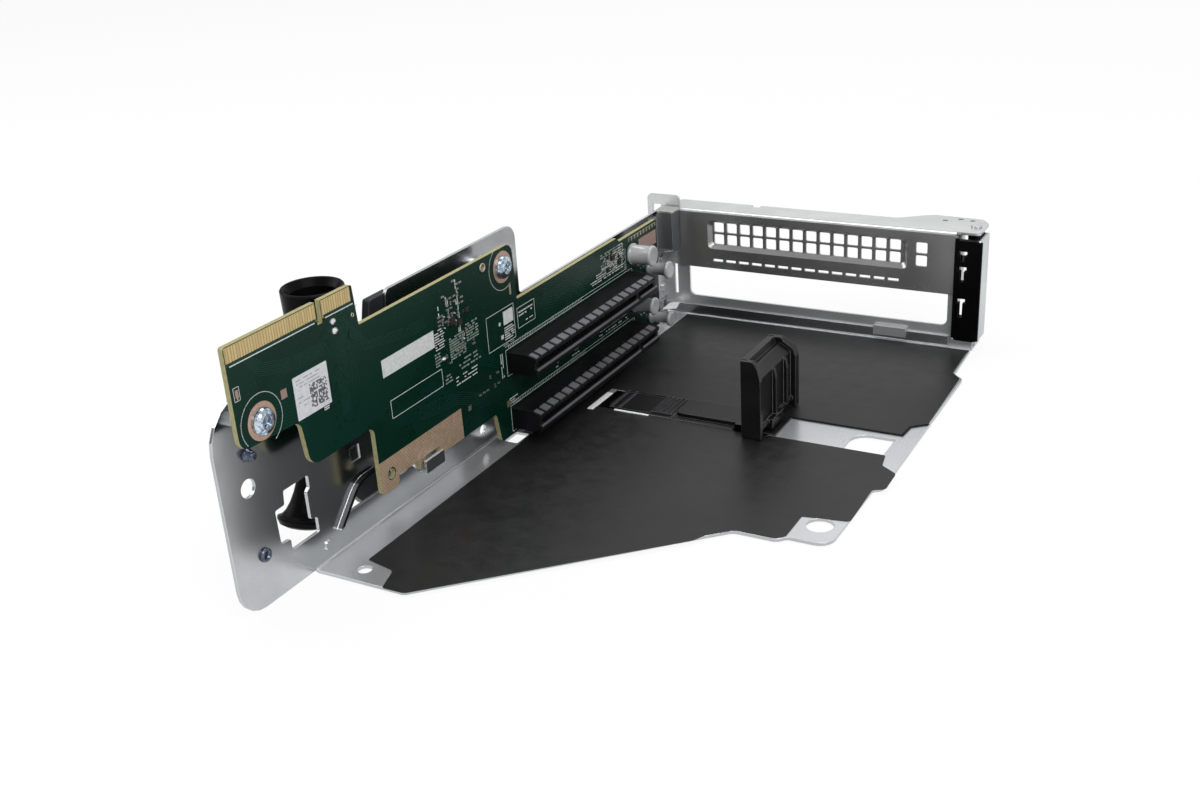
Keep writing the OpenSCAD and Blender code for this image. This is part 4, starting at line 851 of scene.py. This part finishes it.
# %% Small chips with their legs
LEG_PITCH = 0.65
CHIPS = [(-29.1, 55.9, 2.5, 2.5), (-25.3, 54.2, 2.0, 1.8), (-21.0, 56.8, 1.8, 1.5), (74.5, 44.0, 2.4, 1.7),
         (70.6, 40.6, 1.6, 1.6), (79.6, 41.2, 2.0, 1.6), (101.5, 16.0, 3.0, 2.0)]
chip_bodies = grow("chip_bodies", bar_tree("bodies_of_chips", chip_epoxy), "chip_black",
                   [spot(*chip, x=0.05) for chip in CHIPS], Height=0.75)
legs = []
for y, z, long, high in CHIPS:
    for number in range(int(high / LEG_PITCH)):
        level = z - high / 2 + 0.4 + LEG_PITCH * number
        legs += [spot(y + side * (long / 2 + 0.25), level, 0.7, 0.3) for side in (-1, 1)]
grow("chip_legs", bar_tree("legs_of_chips", tin), "screw_steel", legs, Height=0.14)
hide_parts("board_chips")

# %% [markdown]
# ## Solder tails behind the slots
#
# The contacts of each slot pass through the board in two staggered rows and are soldered at the
# back, where they end in short cones. A cone of eight sides is enough for something this small.

# %% Solder tails
def tail_tree(name, material):
    tree, sizes = open_tree(name, "Radius", "Height", "Sides")
    cone = add_node(tree, "GeometryNodeMeshCone",
                    {"Vertices": sizes["Sides"], "Radius Bottom": sizes["Radius"], "Depth": sizes["Height"],
                     "Radius Top": times(tree, sizes["Radius"], 0.3)}).outputs["Mesh"]
    return stand_on_points(tree, sizes, offset(tree, cone, turn=(0, -math.pi / 2, 0)), material)


tails = []
for low, high in slots:
    middle = (low[2] + high[2]) / 2
    for number in range(int(high[1] - low[1] - 8)):
        reach = 1.4 if number % 2 else 2.5
        tails += [spot(low[1] + 4.5 + number, middle + side * reach, x=board_low[0]) for side in (-1, 1)]
grow("solder_tails", tail_tree("cones_of_solder", tin), "screw_steel", tails,
     Radius=0.42, Height=1.0, Sides=8, Unevenness=0.85, Seed=3)

# %% [markdown]
# ## Solid pieces from outlines and profiles
#
# A moulded part is easiest to read as a few flat outlines, each pulled straight to a thickness.
# One helper pulls an outline along an axis, another cuts a corner off with a plane, and a third
# turns a profile round the X axis. The last one makes the object: a cutter may be taken away from
# it, and a narrow Bevel modifier rounds its edges, as the mould's own radii do.

# %% Outline and profile helpers
TURN_STEPS = 48
PLACES = {"X": lambda a, b, c: (c, a, b), "Y": lambda a, b, c: (a, c, b), "Z": lambda a, b, c: (a, b, c)}


def prism(shape, outline, axis, low, high, start=0.0):
    ends = [[shape.verts.new(PLACES[axis](start + a, b, level)) for a, b in outline] for level in (low, high)]
    faces = [shape.faces.new(ends[0]), shape.faces.new(ends[1])]
    for i in range(len(outline)):
        after = (i + 1) % len(outline)
        faces.append(shape.faces.new((ends[0][i], ends[0][after], ends[1][after], ends[1][i])))
    bmesh.ops.recalc_face_normals(shape, faces=faces)
    return faces


def block(shape, low, high):
    prism(shape, [(low[0], low[1]), (high[0], low[1]), (high[0], high[1]), (low[0], high[1])],
          "Z", low[2], high[2])


def cut_corner(shape, faces, point, normal):
    edges = {edge for face in faces for edge in face.edges}
    verts = {vert for face in faces for vert in face.verts}
    cut = bmesh.ops.bisect_plane(shape, geom=[*verts, *edges, *faces], plane_co=point, plane_no=normal,
                                 clear_outer=True)
    rim = [part for part in cut["geom_cut"] if isinstance(part, bmesh.types.BMEdge)]
    bmesh.ops.edgeloop_fill(shape, edges=rim)


def turn_profile(shape, seat_x, y, z, profile):
    angles = [2 * math.pi * i / TURN_STEPS for i in range(TURN_STEPS)]
    rims = [[shape.verts.new((seat_x + height, y + radius * math.cos(a), z + radius * math.sin(a)))
             for a in angles] for radius, height in profile[1:]]
    faces = [shape.faces.new(rims[0]), shape.faces.new(rims[-1])]
    for outer, inner in zip(rims[1:], rims):
        for i in range(TURN_STEPS):
            after = (i + 1) % TURN_STEPS
            faces.append(shape.faces.new((inner[i], outer[i], outer[after], inner[after])))
    bmesh.ops.recalc_face_normals(shape, faces=faces)


def shape_object(name, shape):
    bmesh.ops.scale(shape, vec=(MM, MM, MM), verts=shape.verts)
    mesh = bpy.data.meshes.new(name)
    shape.to_mesh(mesh)
    shape.free()
    return add_object(name, mesh)


def finish_piece(name, shape, material, body, bevel=0.0, cutter=None):
    piece = shape_object(name, shape)
    if cutter:
        cut = piece.modifiers.new("cut", "BOOLEAN")
        cut.operation = "DIFFERENCE"
        cut.solver = "EXACT"
        cut.use_self = True
        cut.object = cutter
    if bevel:
        soften = piece.modifiers.new("soften", "BEVEL")
        soften.width = bevel * MM
        soften.segments = 2
        soften.limit_method = "ANGLE"
    if cutter or bevel:
        piece.data = settled_mesh(piece)
    piece.data.materials.append(material)
    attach(piece, body)
    print(name, "has", len(piece.data.polygons), "faces")
    return piece


def smooth_sides(piece):
    for polygon in piece.data.polygons:
        polygon.use_smooth = len(polygon.vertices) == 4


# %% [markdown]
# ## Screw heads
#
# The two board screws are pan heads with a cross recess and a serrated rim, plated bluish.
# A head is turned from its profile, the cross is cut out with a Boolean modifier, and a narrow
# Bevel modifier softens the cut, because a tiny polished edge is what sparkles.

# %% Board screws
blue_zinc = speckled("blue_zinc", (0.16, 0.24, 0.34), (0.66, 0.74, 0.82), (0.24, 0.12), (900, 4, 0.7),
                     (0.5, 0.00006, 0.00008), span=(0.40, 0.58), metallic=1.0)
HEAD_PROFILE = [(0.0, 2.15), (2.2, 2.05), (2.9, 1.85), (3.5, 1.35), (3.8, 0.75), (3.9, 0.35), (3.9, 0.0)]
CROSS_LONG, CROSS_WIDE, CROSS_DEEP, CROSS_TOP = 3.9, 0.75, 1.5, 2.6


def cross_cutter(name, seat):
    shape = bmesh.new()
    for turn in (0, math.pi / 2):
        made = bmesh.ops.create_cube(shape, size=1.0)["verts"]
        for vert in made:
            is_top = vert.co.x > 0
            vert.co = Vector((CROSS_TOP - CROSS_DEEP * (0.5 - vert.co.x),
                              vert.co.y * CROSS_LONG * (1.0 if is_top else 0.45),
                              vert.co.z * CROSS_WIDE * (1.0 if is_top else 0.7)))
        bmesh.ops.rotate(shape, matrix=Matrix.Rotation(turn, 3, "X"), verts=made)
    bmesh.ops.transform(shape, matrix=Matrix.Translation(seat) @ Matrix.Rotation(0.5, 4, "X"),
                        verts=shape.verts)
    return shape_object(name, shape)


seat_x = box_mm("screw_rings")[1][0]
for number, (y, z) in enumerate(screw_spots, start=1):
    shape = bmesh.new()
    turn_profile(shape, seat_x, y, z, HEAD_PROFILE)
    cutter = cross_cutter("cross_%d" % number, (seat_x, y, z))
    head = finish_piece("screw_head_%d" % number, shape, blue_zinc, "cage", 0.08, cutter)
    bpy.data.objects.remove(cutter)
    if number == 1:
        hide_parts("board_screws")

# %% [markdown]
# ## Label and film
#
# A thermal-transfer label is matt white paper with faint grey printing. This one carries only
# plain bars and a field of random dots. The film is black polycarbonate a quarter of a
# millimetre thick: semi-matt, faintly wavy, and scuffed where cards slide over it.

# %% Label
def label_print(name, dark, light):
    return speckled(name, dark, light, (0.4, 0.55), (1500, 2), (0.1, 0.00001, 0.00002))


dress("board_label", speckled("label_paper", (0.50, 0.51, 0.52), (0.60, 0.61, 0.62), (0.5, 0.65), (700, 3),
                              (0.15, 0.00002, 0.00005)))
label_ink = label_print("label_ink", (0.05, 0.05, 0.055), (0.14, 0.14, 0.15))
faint_ink = label_print("label_ink_faint", (0.14, 0.14, 0.15), (0.26, 0.26, 0.27))
DOT = 0.47
label_low, label_high = box_mm("board_label")
dots = []
for row in range(15):
    for column in range(15):
        if chance.random() < 0.6:
            y, z = label_high[1] - 1.2 - DOT * column, label_low[2] + 1.6 + DOT * row
            dots.append(spot(y, z, 0.48, 0.48, label_high[0]))
grow("label_dots", bar_tree("dots_of_label_ink", label_ink), "label_white", dots, Height=0.015)
left_y, right_y = label_low[1] + 1.2, label_high[1] - 1.2
foot_z = label_low[2]
rows = (stroke_rows(left_y, foot_z + 8.6, right_y, label_high[2] - 0.8, 1.0, 0.22, 0.6)
        + stroke_rows(left_y, foot_z + 1.6, label_low[1] + 5.6, foot_z + 7.6, 1.3, 0.24, 0.5))
bars = [((label_high[0], y, z), turn, long, wide) for (_, y, z), turn, long, wide in rows]
grow("label_bars", bar_tree("bars_of_label_ink", faint_ink), "label_white", bars, Height=0.015)

# %% Film
film_material, tree = new_finish("black_film", ior=1.45, specular=0.46)
swell = noise(tree, 22, 2)
dust = noise(tree, 160, 4, 0.7)
scuffs = noise(tree, 1400, 2, stretch=ALONG_X)
film_tone = math_node(tree, "ADD", times(tree, swell, 0.5), times(tree, dust, 0.5))
base = two_tone(tree, spread(tree, film_tone, 0, 1, 0.38, 0.62), (0.0075, 0.0075, 0.0080),
                (0.0125, 0.0125, 0.0135))
base = two_tone(tree, edge_wear_and_painted_light(tree, 0.15 * MM), base, (0.04, 0.04, 0.042))
rough = math_node(tree, "ADD", spread(tree, dust, 0.34, 0.46), spread(tree, scuffs, 0.0, 0.03))
ripple = math_node(tree, "ADD", times(tree, swell, 3), times(tree, dust, 0.03))
dress("insulator", wire(film_material, base, rough, grain(tree, ripple, 0.35, 0.0002, 0.0001)))

# %% [markdown]
# ## The card holder
#
# The holder is one black moulding: a flat plate that slides in the tray, and an upright that
# presses on the end of a card. The upright is a panel between two end flanges. Its top rim stands
# above a shallow groove, the panel leans out below the groove, and two ribs stiffen it. The far
# flange has a sloping top. The plate has a pocket, five grip ribs for a finger, and a raised tongue.

# %% Card holder
holder_low, holder_high = box_mm("card_holder")
back_x, rim_z = holder_high[0] - 10.0, holder_high[2]
near_y, far_y = holder_low[1], holder_high[1]
FOOT_Z = 1.6
PANEL_Z = 4.5
shape = bmesh.new()
prism(shape, [(0, FOOT_Z), (7.1, FOOT_Z), (7.1, 22.6), (6.2, 26.6), (5.0, rim_z - 0.5), (4.3, rim_z),
              (0, rim_z)], "Y", near_y, near_y + 1.9, back_x)
slope = Vector((0, 5.4, 7.0)).normalized()
panel = prism(shape, [(0, PANEL_Z), (5.9, PANEL_Z), (5.9, 22.2), (3.9, rim_z - 2.6), (2.4, rim_z - 2.6),
                      (2.2, rim_z), (0, rim_z)], "Y", near_y + 1.0, far_y - 1.0, back_x)
cut_corner(shape, panel, Vector((0, far_y - 7.0, rim_z)) - slope * 0.6, slope)
band = prism(shape, [(-3.2, FOOT_Z), (0, FOOT_Z), (0, rim_z - 5.4), (-7.0, rim_z), (-9.0, rim_z),
                     (-8.2, rim_z - 1.9), (-3.2, rim_z - 6.4)], "X", back_x, back_x + 7.9, far_y)
cut_corner(shape, band, (back_x + 7.9, 0, 20.5), Vector((8.9, 0, 3.1)).normalized())
for rib_y in (near_y + 13.4, near_y + 23.4):
    prism(shape, [(5.0, PANEL_Z + 0.3), (7.3, PANEL_Z + 0.3), (7.3, 18.5), (6.7, 21.6), (5.4, 23.2),
                  (5.0, 23.2)], "Y", rib_y, rib_y + 1.5, back_x)
block(shape, (back_x, 39.4, 2.3), (back_x + 7.9, 49.4, PANEL_Z + 1.2))
block(shape, (back_x, near_y + 1.0, PANEL_Z - 0.5), (back_x + 6.7, far_y - 1.0, PANEL_Z + 1.0))
print("upright from", round(near_y, 1), "to", round(far_y, 1))

# %% Sliding plate
SLIDE_Z = holder_low[2]
side_y, inner_y = (36.9, 51.9), (38.2, 50.6)
TAIL_X, NECK_X = 16.5, 41.5
GRIP_X, GRIP_PITCH = 33.0, 1.8
grip_ribs = [GRIP_X + GRIP_PITCH * number for number in range(5)]
for x0, y0, x1, y1, bottom, top in (
        (TAIL_X, 37.1, NECK_X, 51.8, 0, 0.5), (NECK_X - 0.6, side_y[0], holder_high[0], side_y[1], 0, 0.35),
        (TAIL_X, 37.5, TAIL_X + 1.0, 51.2, 0.3, 1.15),
        (TAIL_X + 3.4, 37.5, TAIL_X + 3.4 + 0.9, 51.2, 0.3, 1.15),
        (TAIL_X, 50.9, NECK_X, 51.8, 0.3, 1.2), (GRIP_X, 37.1, NECK_X, 38.0, 0.3, 1.2),
        *((x, 37.6, x + 0.75, 51.2, 0.3, 1.2) for x in grip_ribs)):
    block(shape, (x0, y0, SLIDE_Z + bottom), (x1, y1, SLIDE_Z + top))
prism(shape, [(44.6, inner_y[0]), (back_x + 0.5, inner_y[0]), (back_x + 0.5, inner_y[1]), (42.1, inner_y[1]),
              (42.1, 40.9), (42.4, 39.6), (43.3, 38.6)], "Z", SLIDE_Z + 0.2, SLIDE_Z + 1.9)
holder = finish_piece("moulded_holder", shape, holder_plastic, "holder", 0.22)
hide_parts("card_holder")

# %% [markdown]
# ## Pale blocks and highlit lips on the slots
#
# Along the mouth of each slot, the housing has a row of raised blocks that lead the card's edge
# in. The blocks are paler than the rest of the housing. The lower lip has the same pale tone,
# which there is a painted highlight along the edge of the mouth. The blocks repeat at the pitch
# of the notches, so Geometry Nodes put one tilted bar on each point.

# %% Slot blocks
pale_and_highlit_plastic = moulded("pale_slot_plastic_and_highlight", (0.085, 0.085, 0.092), (0.15, 0.15, 0.16), 0.40,
                       edge=(0.12, 0.12, 0.125), edge_width=0.15)
BLOCK_PITCH = 4.94
BLOCK_LONG = 3.44
MOUTH_X = slots[0][1][0]


def leaning_tree(name, material, lean):
    tree, sizes = open_tree(name, "Length", "Width", "Height")
    bar = box_shape(tree, sizes["Width"], sizes["Length"], sizes["Height"])
    return stand_on_points(tree, sizes, offset(tree, bar, turn=(0, lean, 0)), material)


block_spots = []
for low, high in slots:
    places = [(1.25, 0.56)] + [(5.47 + BLOCK_PITCH * number, 1.0) for number in range(17)]
    block_spots += [spot(low[1] + y, high[2] - 0.42, along, 1.0, MOUTH_X - 1.55) for y, along in places]
grow("slot_blocks", leaning_tree("blocks_of_slots", pale_and_highlit_plastic, math.atan2(1.1, 3.6)), "slot_black",
     block_spots, Length=BLOCK_LONG, Width=2.9, Height=0.5)

# The lips' pale tone is a painted highlight along the lower edge of each slot's mouth.
lip_back, lip_front = MOUTH_X - 0.4, MOUTH_X + 0.22
shape = bmesh.new()
for low, high in slots:
    block(shape, (lip_back, low[1] + 0.4, high[2] - 5.55), (lip_front, low[1] + 73.2, high[2] - 4.75))
    block(shape, (lip_back, low[1] + 75.3, high[2] - 5.15), (lip_front, high[1] - 0.4, high[2] - 4.35))
finish_piece("slot_lips", shape, pale_and_highlit_plastic, "cage", 0.12)

# %% [markdown]
# ## Guide posts
#
# The posts at the far end of the slots guide the cards' brackets. Each is a turned or moulded
# stud with a head a little wider than its body and softly rounded rims. Turning a profile round
# the X axis makes the four of them, in the two sizes that stand beside each slot.

# %% Posts
def post_profile(body_r, head_r, long=9.6):
    return [(0, long), (head_r - 0.75, long), (head_r - 0.25, long - 0.12), (head_r, long - 0.5),
            (head_r, long - 1.15), (head_r - 0.2, long - 1.4), (body_r, long - 1.6), (body_r - 0.05, 1.3),
            (body_r + 0.15, 1.1), (body_r + 0.45, 0.9), (body_r + 0.45, 0.0)]


for number, big, small in ((1, (3.7, 3.95), (2.4, 3.5)), (2, (2.9, 3.4), (2.2, 2.9))):
    name = "guide_posts_%d" % number
    post_low, post_high = box_mm(name)
    shape = bmesh.new()
    turn_profile(shape, 0.0, post_low[1] + 4.7, post_high[2] - 4.7, post_profile(*big))
    turn_profile(shape, 0.0, post_high[1] - 4.5, post_low[2] + 4.5, post_profile(*small))
    posts = finish_piece("turned_posts_%d" % number, shape, post_plastic, "cage")
    smooth_sides(posts)
    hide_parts(name)

# %% [markdown]
# ## Studs on the wall, bright tabs and dark patches
#
# The front part of the wall carries a dark blue passivated stud and a pressed nut. At the rear
# corner, two short tabs are folded in from the wall to carry the posts' tips, and beside the
# slide two thin strips lie on the tray. Tabs and strips are near white, a painted highlight.
# Under the slide's tail a thin black patch is painted shade, and a narrow dark strip runs along
# the far edge of the slide's channel on its rear half.

# %% Studs, tabs and bare edges
dark_zinc = speckled("dark_blue_zinc", (0.05, 0.06, 0.09), (0.14, 0.16, 0.21), (0.28, 0.18), (1200, 3),
                     (0.2, 0.00003, 0.0001), metallic=0.9)
# Near white, almost without metal: a painted highlight on the tabs and strips.
white_painted_highlight = speckled("white_painted_highlight", (0.95, 0.95, 0.96), (0.99, 0.99, 0.99), (0.30, 0.22), (500, 2),
                     (0.1, 0.00001, 0.0001), metallic=0.1)
shape = bmesh.new()
turn_profile(shape, WALL_X, -113.9, 46.9, [(0, 3.0), (0.7, 2.95), (1.2, 2.7), (1.5, 2.1), (1.55, 0.9),
                                           (1.9, 0.7), (1.9, 0.0)])
turn_profile(shape, WALL_X, -113.7, 16.2, [(0, 0.1), (1.1, 0.12), (1.15, 0.95), (1.5, 1.05), (1.95, 0.8),
                                           (2.1, 0.3), (2.1, 0.0)])
smooth_sides(finish_piece("wall_studs", shape, dark_zinc, "cage"))

shape = bmesh.new()
block(shape, (19.4, 35.2, 1.0), (33.0, 36.1, 1.55))
block(shape, (9.6, 33.0, 1.0), (11.9, 48.6, 1.38))
prism(shape, [(-8.3, 128.8), (-8.6, 134.4), (-5.8, 135.6), (-4.9, 132.2)], "Z", 29.8, 30.5)
prism(shape, [(-5.6, 125.6), (-5.7, 132.7), (-2.3, 134.7), (-0.7, 128.8)], "Z", 4.9, 5.6)
finish_piece("bright_tabs", shape, white_painted_highlight, "cage", 0.1)
# A thin black patch: painted shade on the tray under the slide's tail.
shape = bmesh.new()
block(shape, (11.95, 36.3, 1.0), (19.0, 51.7, 1.12))
finish_piece("painted_shade_patch", shape, latch_plastic, "cage")
# A narrow dark strip along the far edge of the slide's channel.
shape = bmesh.new()
block(shape, (79.0, 52.0, 1.25), (118.9, 52.9, 1.4))
prism(shape, [(118.9, 52.0), (119.7, 52.0), (120.3, 59.5), (125.2, 63.6), (124.8, 64.3), (119.5, 60.0)],
      "Z", 1.25, 1.4)
finish_piece("dark_edge_strip", shape, latch_plastic, "cage")

# %% [markdown]
# ## The latch's front
#
# The latch is a black moulding. Its front overlaps the cage a little on both sides, so that it
# hides the gap round the bracket ears; two thin strips carry that overlap.

# %% Latch strips
latch_low, latch_high = box_mm("latch")
front_y = latch_low[1]
shape = bmesh.new()
block(shape, (latch_low[0] - 0.9, front_y, latch_low[2] + 0.8),
      (latch_low[0] + 0.8, front_y + 1.2, latch_high[2] + 0.6))
block(shape, (latch_high[0] - 0.8, front_y - 0.1, latch_low[2] + 0.3),
      (latch_high[0] + 1.5, front_y + 0.9, latch_high[2] - 0.2))
finish_piece("latch_strips", shape, latch_plastic, "latch", 0.2)
